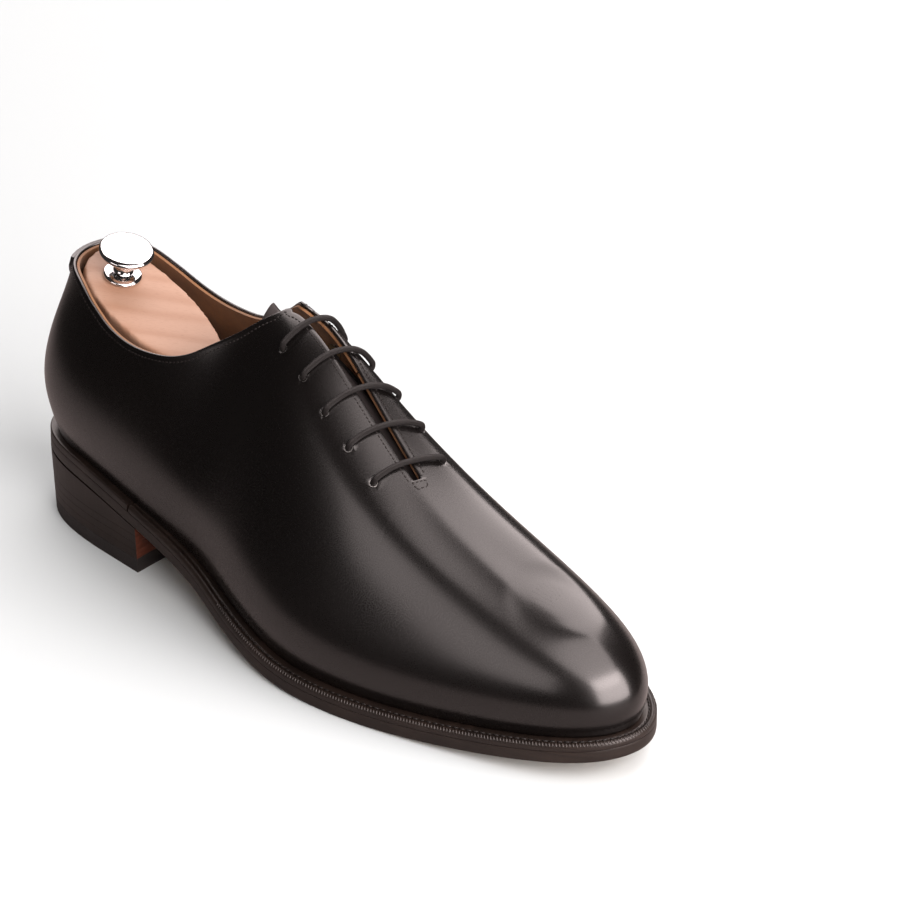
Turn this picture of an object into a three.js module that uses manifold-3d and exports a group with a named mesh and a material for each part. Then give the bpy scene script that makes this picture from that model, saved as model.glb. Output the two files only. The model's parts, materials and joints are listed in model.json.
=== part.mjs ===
// A black wholecut oxford for the right foot, welted, with its spring shoe tree standing in it.
// Millimetres, +X to the toe, lateral side at -Y, +Z up. The origin is under the middle of the shoe's box.
import * as THREE from 'three';
import { mergeVertices } from 'three/addons/utils/BufferGeometryUtils.js';
import Module from 'manifold-3d';

const wasm = await Module();
wasm.setup();

// Overall sizes. The last below is drawn for the REFERENCE sizes and is stretched to these.
const REFERENCE = { length: 301, width: 101, height: 70, heel: 27.5, toeSpring: 11.5 };
const LENGTH = 301;        // outsole, back of the heel to toe
const WIDTH = 101;         // outsole across the ball
const QUARTER_HEIGHT = 70; // top line above the feather line at the back of the heel
const HEEL_HEIGHT = 27.5;  // heel stack at the back
const TOE_SPRING = 11.5;   // outsole above the ground at the toe

// Bottom stock.
const GAP = 0.3;           // running gap between touching pieces
const OUTSOLE = 5;
const WELT = 3;
const INSOLE = 3;
const SOCK = 1;
const TOP_PIECE = 6;       // rubber under the heel
const LIFT = 3.2;          // one leather heel lift
const LIFT_COUNT = 3;
const HEEL_LENGTH = 68.5;
const HEEL_TAPER = 1.5;    // how far the heel draws in from seat to ground
const EDGE_HEEL = 3;       // sole edge beyond the feather line at the heel
const EDGE_FORE = 5.5;     // sole edge beyond the feather line in front
const MARGIN = 8;          // lasted margin turned in under the insole
const RIB = 1.6;           // insole rib's thickness
const SHANK = { from: 62, to: 132, width: 13, thick: 1.4 };
const NAIL = { head: 1.9, shank: 1.1, length: 17, hole: 0.3, inset: 9 };

// Upper stock.
const LEATHER = 1.4;
const LINING = 1;
const STIFFENER = 1.2;     // heel counter and toe puff
const TAB = 1.1;           // strap over the top of the back seam
const TAB_HALF = 0.74;      // rows of the last to each side of the back seam
const TAB_MIDDLE = 0.82;    // how far down the last it hangs at the seam, and at its sides
const TAB_SIDE = 0.22;
const TAB_BELOW_EDGE = 0.04;
const TONGUE = 1.4;
const TONGUE_HALF = 21;
const CORNER = 7;          // rounding of the facing's top corner

// Lacing slit, as a straight line in plan from its top to its foot.
const SLIT_TOP = { x: 119, y: 8.5, half: 4.3 };
const SLIT_FOOT = { x: 192, y: -2.8, half: 1.6 };
const ROWS = 5;
const ROW_FIRST = 9.2;      // first eyelet row below the top of the slit
const ROW_PITCH = 14.6;
const EYELET_OUT = [17.5, 18, 18, 17.3, 16];
const EYELET = { bore: 1.5, barrel: 2.15, flange: 3.1, plate: 0.4, seat: 1.1 };
const LACE = 1.15;         // lace radius

// Shoe tree.
const PIVOT = { x: 139, y: 0, above: 24, pin: 2.4 };
const TREE_PITCH = 0.26;   // the tube climbs towards the heel by this angle
const ROD = 3;
const EYE = { radius: 6, width: 9 };
const TUBE = { outer: 6, wall: 2.6, reach: 34, length: 52 };
const SPRING = { wire: 0.7, turns: 6, radius: 5 };
const TREE_CLEAR_FORE = 8.6;
const TREE_CLEAR_HEEL = 4.7;
const KNOB = { radius: 10.6, rim: 1.3, stem: 3, height: 13, flange: 7.6, flangeHeight: 2, x: 27.5 };
const DECK = { x: 12, above: 68.8, slope: 0.23 };   // top face of the heel block

const BOX_MIDDLE = { x: 148.86, y: 0.62 }; // middle of the reference shoe's box, from the heel's back

const FEATHER_LIFT = OUTSOLE + WELT + 2 * GAP;

// The last, as rows round the foot from the back of the heel to the toe.
// feather x, lateral y, medial y | crest x, lateral y, medial y, height | bulge lateral, medial, height |
// wall in lateral, medial, height | shoulder in lateral, medial, drop
const LAST = [
  [1.5, 0, 0, 8, 0, 0, 86, 8, 8, 21, 0.35, 0.35, 46, 0.7, 0.7, 24],
  [4.5, -20, 20, 13, -12, 12, 85, 8, 8, 21, 0.35, 0.35, 46, 0.7, 0.7, 24],
  [23, -29.5, 29, 31, -21, 16, 82, 6, 6, 21, 0.3, 0.3, 44, 0.65, 0.7, 24],
  [50, -31.5, 29.5, 56, -22, 17, 84, 5, 4.5, 22, 0.25, 0.3, 42, 0.6, 0.68, 22],
  [79, -31.5, 26.5, 84, -19, 16, 96, 5, 4, 20, 0.22, 0.3, 42, 0.6, 0.64, 22],
  [105, -32, 21.5, 107, 10.4, 10.4, 109, 6, 5, 20, 0.15, 0.25, 42, 0.56, 0.56, 16],
  [134, -40.5, 25, 131, 6.7, 6.7, 110, 6, 7, 18, 0.12, 0.22, 42, 0.56, 0.54, 9],
  [162, -46, 35, 156, 2.7, 2.7, 97, 5.5, 7, 16, 0.12, 0.16, 36, 0.56, 0.53, 7],
  [189, -43.5, 45, 180, -1.8, -1.8, 82, 5, 6, 14, 0.12, 0.12, 30, 0.54, 0.54, 5],
  [216, -37, 47, 203, -2, -2, 68.6, 4.5, 5, 12, 0.12, 0.1, 27, 0.54, 0.54, 4],
  [243, -28.5, 43, 223, 2, 2, 58, 4, 4.5, 11, 0.12, 0.1, 25, 0.54, 0.54, 3],
  [270, -19, 34, 238, 5.5, 5.5, 50, 3.5, 4, 10, 0.12, 0.1, 24, 0.54, 0.54, 3],
  [290, -8, 20, 246, 7, 7, 46, 3.5, 3.5, 10, 0.12, 0.1, 23, 0.54, 0.54, 3],
  [297.5, 6, 6, 249, 7, 7, 44, 3.5, 3.5, 10, 0.12, 0.12, 23, 0.54, 0.54, 3],
];
const OPEN_ROWS = 5;       // rows of the last behind this one have no crest to meet at
const TOE = LAST.length - 1;
const ROUND = 2 * TOE;     // rows all round the foot

// Height of the top line above the feather line, along the shoe.
const TOP_LINE = [[0, 70], [22, 69.2], [35, 65.5], [47, 63], [60, 64], [76, 69], [86, 74.6],
  [95, 83], [103, 91], [110, 99], [117, 105.7], [125, 112], [140, 122], [170, 140]];
// Underside of the outsole along the shoe, as shares of heel height and toe spring.
const PITCH = [[-20, 1], [0, 1], [35, 0.98], [68, 0.745], [100, 0.48], [130, 0.22], [160, 0.05], [195, 0], [400, 0]];
const SPRING_UP = [[-20, 0], [195, 0], [230, 0.14], [265, 0.47], [303, 1], [330, 1.6]];

const kx = LENGTH / REFERENCE.length;
const ky = WIDTH / REFERENCE.width;
const kz = QUARTER_HEIGHT / REFERENCE.height;

// ---------------------------------------------------------------- curves

function ease(from, to, x) {
  return THREE.MathUtils.smoothstep(x, from, to);
}

// A smooth line through the points, one value for each x.
function through(points, x) {
  const last = points.length - 1;
  let i = 0;
  while (i < last - 1 && x > points[i + 1][0]) i += 1;
  const slope = (k) => {
    const a = points[Math.max(k - 1, 0)];
    const b = points[Math.min(k + 1, last)];
    return (b[1] - a[1]) / (b[0] - a[0]);
  };
  const [x0, y0] = points[i];
  const [x1, y1] = points[i + 1];
  const h = x1 - x0;
  const s = THREE.MathUtils.clamp((x - x0) / h, 0, 1);
  const bend = (1 - s) ** 2 * s * slope(i) - s ** 2 * (1 - s) * slope(i + 1);
  return y0 + (y1 - y0) * s * s * (3 - 2 * s) + h * bend;
}

function soleZ(x) {
  return HEEL_HEIGHT * through(PITCH, x / kx) + TOE_SPRING * through(SPRING_UP, x / kx);
}

function featherZ(x) {
  return soleZ(x) + FEATHER_LIFT;
}

// ---------------------------------------------------------------- the last's surface

function rowAt(i) {
  return LAST[i <= TOE ? i : ROUND - i];
}

function featherOf(i) {
  const row = rowAt(i);
  const x = row[0] * kx;
  return new THREE.Vector3(x, row[i <= TOE ? 1 : 2] * ky, featherZ(x));
}

function crestOf(i) {
  const row = rowAt(i);
  const x = row[3] * kx;
  return new THREE.Vector3(x, row[i <= TOE ? 4 : 5] * ky, featherZ(x) + row[6] * kz);
}

function towards(from, to, share, z) {
  const point = from.clone().lerp(to, share);
  point.z = z;
  return point;
}

function buildNet() {
  const net = [];
  for (let i = 0; i < ROUND; i += 1) {
    const row = rowAt(i);
    const side = i <= TOE ? 0 : 1;
    const foot = featherOf(i);
    const crest = crestOf(i);
    const ahead = featherOf((i + 1) % ROUND).sub(featherOf((i + ROUND - 1) % ROUND));
    const out = new THREE.Vector3(ahead.y, -ahead.x, 0).normalize();
    const bulge = foot.clone().addScaledVector(out, row[7 + side]);
    bulge.z = foot.z + row[9] * kz;
    const wall = towards(bulge, crest, row[10 + side], foot.z + row[12] * kz);
    const shoulder = towards(bulge, crest, row[13 + side], crest.z - row[15] * kz);
    net.push([foot.clone().multiplyScalar(2).sub(bulge), foot, bulge, wall, shoulder, crest]);
  }
  for (let i = 0; i < ROUND; i += 1) {
    const open = Math.min(i, ROUND - i) < OPEN_ROWS;
    const [, , , , shoulder, crest] = net[i];
    const over = open ? crest.clone().multiplyScalar(2).sub(shoulder) : net[(ROUND - i) % ROUND][4].clone();
    net[i].push(over);
  }
  return net;
}

const NET = buildNet();
const CREST = 4;           // v at the crest; v is 0 at the feather line

function weights(f) {
  const g = 1 - f;
  return [g ** 3 / 6, (3 * f ** 3 - 6 * f ** 2 + 4) / 6, (3 * g ** 3 - 6 * g ** 2 + 4) / 6, f ** 3 / 6];
}

// Point of the last: t counts rows round the foot, v climbs from feather line to crest and over it.
function surface(t, v) {
  if (v > CREST) return surface(ROUND - t, 2 * CREST - v);
  const wrapped = ((t % ROUND) + ROUND) % ROUND;
  const i = Math.floor(wrapped);
  const j = Math.min(Math.floor(v), CREST - 1);
  const a = weights(wrapped - i);
  const b = weights(v - j);
  const point = new THREE.Vector3();
  for (let m = 0; m < 4; m += 1) {
    const row = NET[(i - 1 + m + ROUND) % ROUND];
    for (let n = 0; n < 4; n += 1) point.addScaledVector(row[j + n], a[m] * b[n]);
  }
  return point;
}

function normal(t, v) {
  const step = 0.01;
  const along = surface(t + step, v).sub(surface(t - step, v));
  const up = surface(t, v + step).sub(surface(t, Math.max(v - step, 0)));
  return along.cross(up).normalize();
}

// A layer of the upper lies this deep inside the last's surface.
function skin(t, v, depth) {
  const mirrored = v === CREST && t > TOE && ROUND - t > OPEN_ROWS + 1;
  const at = mirrored ? ROUND - t : t;
  return surface(at, v).addScaledVector(normal(at, v), -depth);
}

// Place on the last over a point in plan, near the lacing.
function locate(x, y) {
  let t = 5 + (x / kx - 107) / 24.5;
  let v = y > 4 ? 4.3 : 3.7;
  const step = 0.01;
  for (let k = 0; k < 25; k += 1) {
    const p = surface(t, v);
    const a = surface(t + step, v).sub(p).divideScalar(step);
    const b = surface(t, v + step).sub(p).divideScalar(step);
    const det = a.x * b.y - a.y * b.x;
    const dx = x - p.x;
    const dy = y - p.y;
    t += THREE.MathUtils.clamp((dx * b.y - dy * b.x) / det, -0.5, 0.5);
    v += THREE.MathUtils.clamp((dy * a.x - dx * a.y) / det, -0.2, 0.2);
    v = THREE.MathUtils.clamp(v, 1.5, 2 * CREST - 1.5);
  }
  return [t, v];
}

// ---------------------------------------------------------------- trimming of the upper

const slitRun = new THREE.Vector2((SLIT_FOOT.x - SLIT_TOP.x) * kx, (SLIT_FOOT.y - SLIT_TOP.y) * ky);
const SLIT_LENGTH = slitRun.length();
slitRun.normalize();

// Distance along the slit from its top, and across it, towards medial.
function slitPlace(point) {
  const dx = point.x - SLIT_TOP.x * kx;
  const dy = point.y - SLIT_TOP.y * ky;
  return [dx * slitRun.x + dy * slitRun.y, dy * slitRun.x - dx * slitRun.y];
}

function planPoint(along, across) {
  const x = SLIT_TOP.x * kx + along * slitRun.x - across * slitRun.y;
  return [x, SLIT_TOP.y * ky + along * slitRun.y + across * slitRun.x];
}

// Positive where the upper is cut away, by the top line or by the slit.
function cutAway(point) {
  const [along, across] = slitPlace(point);
  const share = THREE.MathUtils.clamp(along / SLIT_LENGTH, 0, 1);
  const half = THREE.MathUtils.lerp(SLIT_TOP.half, SLIT_FOOT.half, share);
  const slit = along < SLIT_LENGTH ? half - Math.abs(across) + Math.min(1.5 * along, 0) : -10;
  const above = point.z - featherZ(point.x) - kz * through(TOP_LINE, point.x / kx);
  const blend = Math.max(CORNER - Math.abs(slit - above), 0);
  return Math.max(slit, above) + blend ** 2 / (4 * CORNER);
}

// How far up a rib the leather reaches.
function topOf(t) {
  let low = 1.5;
  while (low < CREST && cutAway(surface(t, low)) < 0) low += 0.05;
  if (low >= CREST) return CREST;
  let high = low;
  low -= 0.05;
  for (let k = 0; k < 24; k += 1) {
    const middle = (low + high) / 2;
    if (cutAway(surface(t, middle)) < 0) low = middle;
    else high = middle;
  }
  return low;
}

// Place on the leather so far down the slit, and so far across it measured over the leather.
function facing(along, across) {
  let [t, v] = locate(...planPoint(along, 0));
  const run = new THREE.Vector3(slitRun.x, slitRun.y, 0);
  const strides = 12;
  const step = 0.01;
  for (let k = 0; k < strides; k += 1) {
    const p = surface(t, v);
    const a = surface(t + step, v).sub(p).divideScalar(step);
    const b = surface(t, v + step).sub(p).divideScalar(step);
    const dt = b.dot(run);
    const dv = -a.dot(run);
    const stride = a.clone().multiplyScalar(dt).addScaledVector(b, dv);
    const outwards = Math.sign(slitPlace(stride.clone().add(p))[1] - slitPlace(p)[1]);
    const share = (across / strides / stride.length()) * outwards;
    t += dt * share;
    v += dv * share;
  }
  return [t, v];
}

const [slitFootT] = locate(...planPoint(SLIT_LENGTH, 0));

// Ribs from the heel back along the lateral side to the toe, then back along the medial side.
function halfRibs() {
  const ribs = [];
  for (let t = 0; t < slitFootT - 0.3; t += 0.5) ribs.push(t);
  ribs.push(slitFootT - 0.06, slitFootT + 0.04);
  for (let t = Math.ceil(slitFootT * 2 + 0.6) / 2; t <= TOE; t += 0.5) ribs.push(t);
  return ribs;
}

const HALF = halfRibs();
const RIBS = [...HALF, ...HALF.slice(1, -1).reverse().map((t) => ROUND - t)];
const CLIMB = [0.1, 0.22, 0.36, 0.5, 0.64, 0.77, 0.89, 1];
const WALL_START = 0.26;   // v where the wall leaves the feather's turn
const COUNTER_END = 3;
const PUFF_START = 11;

// ---------------------------------------------------------------- solids

function geometryOf(points, index) {
  const raw = new THREE.BufferGeometry();
  raw.setAttribute('position', new THREE.Float32BufferAttribute(points.flatMap((p) => [p.x, p.y, p.z]), 3));
  raw.setIndex(index);
  const merged = mergeVertices(raw, 1e-4);
  const old = merged.index.array;
  const place = (k) => new THREE.Vector3().fromBufferAttribute(merged.attributes.position, k);
  const kept = [];
  let volume = 0;
  for (let k = 0; k < old.length; k += 3) {
    const [a, b, c] = [old[k], old[k + 1], old[k + 2]];
    if (a === b || b === c || c === a) continue;
    kept.push(a, b, c);
    volume += place(a).dot(place(b).cross(place(c)));
  }
  merged.setIndex(volume < 0 ? kept.reverse() : kept);
  merged.computeVertexNormals();
  return merged;
}

// A slab between two grids of points. A ring closes on itself, and a lip is left out where two ribs meet.
function slab(top, bottom, { ring = false, lip = () => true } = {}) {
  const rows = top.length;
  const cols = top[0].length;
  const index = [];
  const id = (side, k, j) => (side * rows + k) * cols + j;
  const quad = (a, b, c, d) => index.push(a, b, c, a, c, d);
  const end = cols - 1;
  for (let k = 0; k < (ring ? rows : rows - 1); k += 1) {
    const n = (k + 1) % rows;
    for (let j = 0; j < end; j += 1) {
      quad(id(0, k, j), id(0, n, j), id(0, n, j + 1), id(0, k, j + 1));
      quad(id(1, k, j), id(1, k, j + 1), id(1, n, j + 1), id(1, n, j));
    }
    quad(id(0, k, 0), id(1, k, 0), id(1, n, 0), id(0, n, 0));
    if (lip(k, n)) quad(id(0, k, end), id(0, n, end), id(1, n, end), id(1, k, end));
  }
  if (!ring) {
    const far = rows - 1;
    for (let j = 0; j < end; j += 1) {
      quad(id(0, 0, j), id(0, 0, j + 1), id(1, 0, j + 1), id(1, 0, j));
      quad(id(0, far, j), id(1, far, j), id(1, far, j + 1), id(0, far, j + 1));
    }
  }
  return geometryOf([...top.flat(), ...bottom.flat()], index);
}

function toManifold(geometry) {
  const bare = geometry.clone();
  bare.deleteAttribute('normal');
  bare.deleteAttribute('uv');
  const merged = mergeVertices(bare, 1e-4);
  const vertProperties = new Float32Array(merged.attributes.position.array);
  const triVerts = new Uint32Array(merged.index.array);
  return new wasm.Manifold(new wasm.Mesh({ numProp: 3, vertProperties, triVerts }));
}

function fromManifold(manifold) {
  const mesh = manifold.getMesh();
  const geometry = new THREE.BufferGeometry();
  geometry.setAttribute('position', new THREE.Float32BufferAttribute(Array.from(mesh.vertProperties), 3));
  geometry.setIndex(Array.from(mesh.triVerts));
  geometry.computeVertexNormals();
  return geometry;
}

function cut(geometry, tools) {
  return fromManifold(tools.reduce((body, tool) => body.subtract(toManifold(tool)), toManifold(geometry)));
}

function common(geometry, tools) {
  return fromManifold(tools.reduce((body, tool) => body.intersect(toManifold(tool)), toManifold(geometry)));
}

function placed(geometry, position, quaternion = new THREE.Quaternion()) {
  const matrix = new THREE.Matrix4().compose(position, quaternion, new THREE.Vector3(1, 1, 1));
  return geometry.clone().applyMatrix4(matrix);
}

const UP = new THREE.Vector3(0, 0, 1);

function lathe(profile, sides) {
  return new THREE.LatheGeometry(profile.map(([r, z]) => new THREE.Vector2(r, z)), sides).rotateX(Math.PI / 2);
}

// ---------------------------------------------------------------- bottom

function outward(t) {
  const ahead = surface(t + 0.02, 0).sub(surface(t - 0.02, 0));
  return new THREE.Vector3(ahead.y, -ahead.x, 0).normalize();
}

// Feather line moved outwards in plan, lying on the given level above the outsole's underside.
function edgePoint(t, out, level) {
  const point = surface(t, 0).addScaledVector(outward(t), out);
  point.z = soleZ(point.x) + level;
  return point;
}

// Rows between t and the heel's back, whichever way is nearer.
function fromHeel(t) {
  const round = ((t % ROUND) + ROUND) % ROUND;
  return Math.min(round, ROUND - round);
}

function soleEdge(t) {
  return THREE.MathUtils.lerp(EDGE_HEEL, EDGE_FORE, ease(3, 6, fromHeel(t)));
}

// How much deeper the lining lies where a stiffener is behind it.
function stiffened(t) {
  return 1 - ease(COUNTER_END, COUNTER_END + 1, fromHeel(t)) + ease(PUFF_START - 1, PUFF_START, fromHeel(t));
}

function outlineOf(out) {
  const line = [];
  for (let k = 0; k <= 20 * TOE; k += 1) {
    const t = k / 20;
    line.push([edgePoint(t, out(t), 0), edgePoint(ROUND - t, out(t), 0)]);
  }
  return line;
}

function widthAt(line, side, x) {
  const k = line.findIndex((pair) => pair[side].x > x);
  if (k <= 0) return line[k === 0 ? 0 : line.length - 1][side].y;
  const a = line[k - 1][side];
  const b = line[k][side];
  return THREE.MathUtils.mapLinear(x, a.x, b.x, a.y, b.y);
}

// A plate between two levels, with its outline cut square at both ends where limits are given.
function plate(out, low, high, { from = -Infinity, to = Infinity, steps = 26 } = {}) {
  const line = outlineOf(out);
  const start = Math.max(from, line[0][0].x + 0.02);
  const stop = Math.min(to, line[line.length - 1][0].x - 0.02);
  const top = [];
  const bottom = [];
  for (let k = 0; k <= steps; k += 1) {
    const share = k / steps;
    const round = 0.5 - 0.5 * Math.cos(Math.PI * share);
    const x = THREE.MathUtils.lerp(start, stop, 0.9 * round + 0.1 * share);
    const ys = [0, 1].map((side) => widthAt(line, side, x));
    top.push(ys.map((y) => new THREE.Vector3(x, y, high(x))));
    bottom.push(ys.map((y) => new THREE.Vector3(x, y, low(x))));
  }
  return slab(top, bottom);
}

const onSole = (level) => (x) => soleZ(x) + level;
const flat = (z) => () => z;

// A band round the edge between two levels, from rib to rib.
function band(from, to, outer, inner, low, high) {
  const steps = Math.round((to - from) * 2.2);
  const top = [];
  const bottom = [];
  for (let k = 0; k <= steps; k += 1) {
    const t = THREE.MathUtils.lerp(from, to, k / steps);
    top.push([edgePoint(t, outer(t), high), edgePoint(t, -inner, high)]);
    bottom.push([edgePoint(t, outer(t), low), edgePoint(t, -inner, low)]);
  }
  return slab(top, bottom);
}

const weltLow = OUTSOLE + GAP;
const weltHigh = weltLow + WELT;
const insoleLow = FEATHER_LIFT + LEATHER + LINING + 2 * GAP;
const insoleHigh = insoleLow + INSOLE;
const sockHigh = insoleHigh + GAP + SOCK;
const BREAST_T = 3.5;

function liningDepth(t) {
  return LEATHER + GAP + (STIFFENER + GAP) * stiffened(t);
}

function insoleEdge(t) {
  return -(liningDepth(t) + LINING + 0.5);
}

function nailPlaces() {
  const line = outlineOf(() => EDGE_HEEL - NAIL.inset);
  const places = [[NAIL.inset + 1, 0]];
  for (const x of [0.42 * HEEL_LENGTH, 0.8 * HEEL_LENGTH]) {
    for (const side of [0, 1]) places.push([x, widthAt(line, side, x)]);
  }
  return places;
}

function nailHoles() {
  const long = 60;
  return nailPlaces().map(([x, y]) => {
    const shaft = new THREE.CylinderGeometry(NAIL.shank + NAIL.hole, NAIL.shank + NAIL.hole, long, 8);
    return placed(shaft.rotateX(Math.PI / 2), new THREE.Vector3(x, y, 0));
  });
}

function headHoles() {
  return nailPlaces().map(([x, y]) => {
    const head = new THREE.CylinderGeometry(NAIL.head + NAIL.hole, NAIL.head + NAIL.hole, 5, 10);
    return placed(head.rotateX(Math.PI / 2), new THREE.Vector3(x, y, 0.5));
  });
}

function liftEdge(z) {
  return (t) => soleEdge(t) - HEEL_TAPER * (1 - z / HEEL_HEIGHT);
}

function heelLayer(low, high, middle) {
  return plate(liftEdge(middle), low, high, { to: HEEL_LENGTH * kx, steps: 14 });
}

function nail() {
  const { head, shank, length } = NAIL;
  const profile = [[0, 0], [head, 0], [head, 1], [shank, 1.6], [shank, length - 3], [0, length]];
  return lathe(profile, 8);
}

// ---------------------------------------------------------------- upper

// Ribs of one face of a layer: turned margin, feather, then up the last to the trimmed edge.
function ribPoints(t, depth, level, reach, climb) {
  const top = reach(t);
  const margin = edgePoint(t, -MARGIN, FEATHER_LIFT + level);
  const foot = edgePoint(t, -depth(t, 0), FEATHER_LIFT + level);
  const wall = climb.map((share) => {
    const v = THREE.MathUtils.lerp(WALL_START, top, share);
    return skin(t, v, depth(t, v));
  });
  return [margin, foot, ...wall];
}

function wrapped(ribs, ring, outer, inner, levels, reach = topOf) {
  const climb = [0, ...CLIMB];
  const top = ribs.map((t) => ribPoints(t, outer, levels[0], reach, climb));
  const bottom = ribs.map((t) => ribPoints(t, inner, levels[1], reach, climb));
  const lip = (k, n) => reach(ribs[k]) < CREST || reach(ribs[n]) < CREST;
  return slab(top, bottom, { ring, lip });
}

// A piece lying between two depths over part of the last.
function patch(ribs, heights, outer, inner) {
  const face = (depth) => ribs.map((t) => heights(t).map((v) => skin(t, v, depth(t, v))));
  return slab(face(outer), face(inner));
}

function spread(from, to, count) {
  return Array.from({ length: count + 1 }, (_, k) => THREE.MathUtils.lerp(from, to, k / count));
}

function eyeletFrames() {
  const frames = [];
  for (const side of [-1, 1]) {
    for (let row = 0; row < ROWS; row += 1) {
      const [t, v] = facing(ROW_FIRST + row * ROW_PITCH, side * EYELET_OUT[row]);
      const out = normal(t, v);
      const name = `eyelet_${side < 0 ? 'lateral' : 'medial'}_${row + 1}`;
      frames.push({ name, at: surface(t, v), turn: new THREE.Quaternion().setFromUnitVectors(UP, out) });
    }
  }
  return frames;
}

const EYELETS = eyeletFrames();

function eyeletHoles() {
  const radius = EYELET.barrel + 0.35;
  const drill = new THREE.CylinderGeometry(radius, radius, 16, 10).rotateX(Math.PI / 2);
  return EYELETS.map(({ at, turn }) => placed(drill, at, turn));
}

function eyelet() {
  const deep = LEATHER + GAP + LINING + EYELET.seat;
  const { bore, barrel, flange, plate: thick } = EYELET;
  const profile = [[bore, -deep - thick], [flange, -deep - thick], [flange, -deep], [barrel, -deep],
    [barrel, -0.2], [bore, -0.2], [bore, -deep - thick]];
  return lathe(profile, 8);
}

function upper() {
  const whole = wrapped(RIBS, true, () => 0, () => LEATHER, [0, LEATHER]);
  return cut(whole, eyeletHoles());
}

const liningOuter = (t, v) => LEATHER + GAP + (STIFFENER + GAP) * stiffened(t) * stiffRise(t, v);
const liningInner = (t, v) => liningOuter(t, v) + LINING;

// The stiffeners stop below the top line, and the lining comes back to the upper over them.
function stiffRise(t, v) {
  return fromHeel(t) < TOE / 2 ? 1 - ease(2.4, 2.9, v) : 1;
}

const LINING_SEAM = 6.75;

function quarterLining() {
  const side = HALF.filter((t) => t < LINING_SEAM);
  const ribs = [...side.slice(1).reverse().map((t) => -t), ...side];
  const levels = [LEATHER + GAP, LEATHER + GAP + LINING];
  const wide = [-LINING_SEAM + 0.02, ...ribs, LINING_SEAM - 0.02];
  return cut(wrapped(wide, false, liningOuter, liningInner, levels), eyeletHoles());
}

function vampLining() {
  const side = [LINING_SEAM + 0.02, ...HALF.filter((t) => t > LINING_SEAM)];
  const ribs = [...side, ...side.slice(0, -1).reverse().map((t) => ROUND - t)];
  const levels = [LEATHER + GAP, LEATHER + GAP + LINING];
  return cut(wrapped(ribs, false, liningOuter, liningInner, levels), eyeletHoles());
}

function stiffener(ribs, shares) {
  const heights = (t) => shares.map((share) => THREE.MathUtils.lerp(WALL_START, topOf(t), share));
  return patch(ribs, heights, () => LEATHER + GAP, () => LEATHER + GAP + STIFFENER);
}

function heelCounter() {
  const side = HALF.filter((t) => t <= COUNTER_END);
  return stiffener([...side.slice(1).reverse().map((t) => -t), ...side], [0.04, ...CLIMB.slice(0, 5)]);
}

function toePuff() {
  const side = HALF.filter((t) => t >= PUFF_START);
  const ribs = [...side, ...side.slice(0, -1).reverse().map((t) => ROUND - t)];
  return stiffener(ribs, [0.04, ...CLIMB.slice(0, 6)]);
}

function heelTab() {
  const depthOf = (t) => TAB_SIDE + (TAB_MIDDLE - TAB_SIDE) * Math.cos((t / TAB_HALF) * (Math.PI / 2));
  const heights = (t) => spread(topOf(t) - depthOf(t), topOf(t) - TAB_BELOW_EDGE, 4);
  return patch(spread(-TAB_HALF, TAB_HALF, 6), heights, () => -GAP - TAB, () => -GAP);
}

const LACE_UNDER = LEATHER + GAP + LINING + EYELET.seat + EYELET.plate + 2 * GAP + LACE;
const TONGUE_DEPTH = LACE_UNDER + LACE + 2 * GAP;

function tongueFace(depth) {
  const rows = [];
  for (const along of [-15, -12, -4, 8, 20, 32, 44, 56, 68, 78]) {
    const top = THREE.MathUtils.clamp((along + 18) / 10, 0, 1);
    const half = TONGUE_HALF * Math.sqrt(top) * (1 - 0.003 * along);
    rows.push(spread(-half, half, 8).map((across) => {
      const [t, v] = facing(along * kx, across);
      return surface(t, v).addScaledVector(normal(t, v), -depth);
    }));
  }
  return rows;
}

function tongue() {
  return slab(tongueFace(TONGUE_DEPTH), tongueFace(TONGUE_DEPTH + TONGUE));
}

// ---------------------------------------------------------------- lace

// Route of the lace: rows down the slit, distance across it over the leather, and depth under its surface.
// It zigzags up from the lowest pair, and both ends are tucked in under the facings.
const OVER = -LACE - 0.6;
const INTO = [[-3.4, OVER], [-1.3, OVER + 0.1], [0, -0.4], [0, 2.2], [0, 4.4]];

function tuckedEnd(side) {
  const out = (row) => EYELET_OUT[Math.round(row)];
  const runs = side < 0
    ? [[0.3, 12.5], [1.2, 12.8], [2.1, 13], [3, 12.8], [3.7, 12], [4.05, 8.8], [3.6, 6.4], [2.7, 6.2],
      [1.8, 6.2], [0.9, 6.2], [0.3, 5], [0.5, 2.2], [1.5, 3.9], [2.5, 4], [3.4, 3.6]]
    : [[0.6, 3.6], [1.5, 4], [2.4, 4.2], [3.3, 4.4], [4.02, 6.6], [3.6, 9.6], [2.7, 10.8], [1.8, 11], [0.9, 10.8], [0.2, 10.4]];
  return runs.map(([row, beyond]) => [row, side * (out(Math.min(row, ROWS - 1)) + beyond), LACE_UNDER]);
}

function laceRoute() {
  const route = tuckedEnd(-1);
  const last = ROWS - 1;
  for (let row = last; row >= 0; row -= 1) {
    const side = (last - row) % 2 === 0 ? -1 : 1;
    const out = EYELET_OUT[row];
    const shift = 1.3 / ROW_PITCH;
    route.push([row - (row === last ? shift : -shift), side * out, LACE_UNDER - 0.1]);
    for (const [short, depth] of [...INTO].reverse()) route.push([row, side * (out + short), depth]);
    for (const share of [0.5, 0.2, -0.2, -0.5]) route.push([row, side * out * share, OVER]);
    for (const [short, depth] of INTO) route.push([row, -side * (out + short), depth]);
    route.push([row - (row === 0 ? -shift : shift), -side * out, LACE_UNDER - 0.1]);
    if (row > 0) route.push([row - 0.5, (-side * (out + EYELET_OUT[row - 1])) / 2, LACE_UNDER]);
  }
  return [...route, ...tuckedEnd(1)];
}

// A curve that is stepped at its own points, so that a tube along it turns where they lie.
class Route extends THREE.CatmullRomCurve3 {
  getSpacedPoints(count) {
    return this.getPoints(count);
  }

  getTangentAt(u, target) {
    return this.getTangent(u, target);
  }
}

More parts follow.
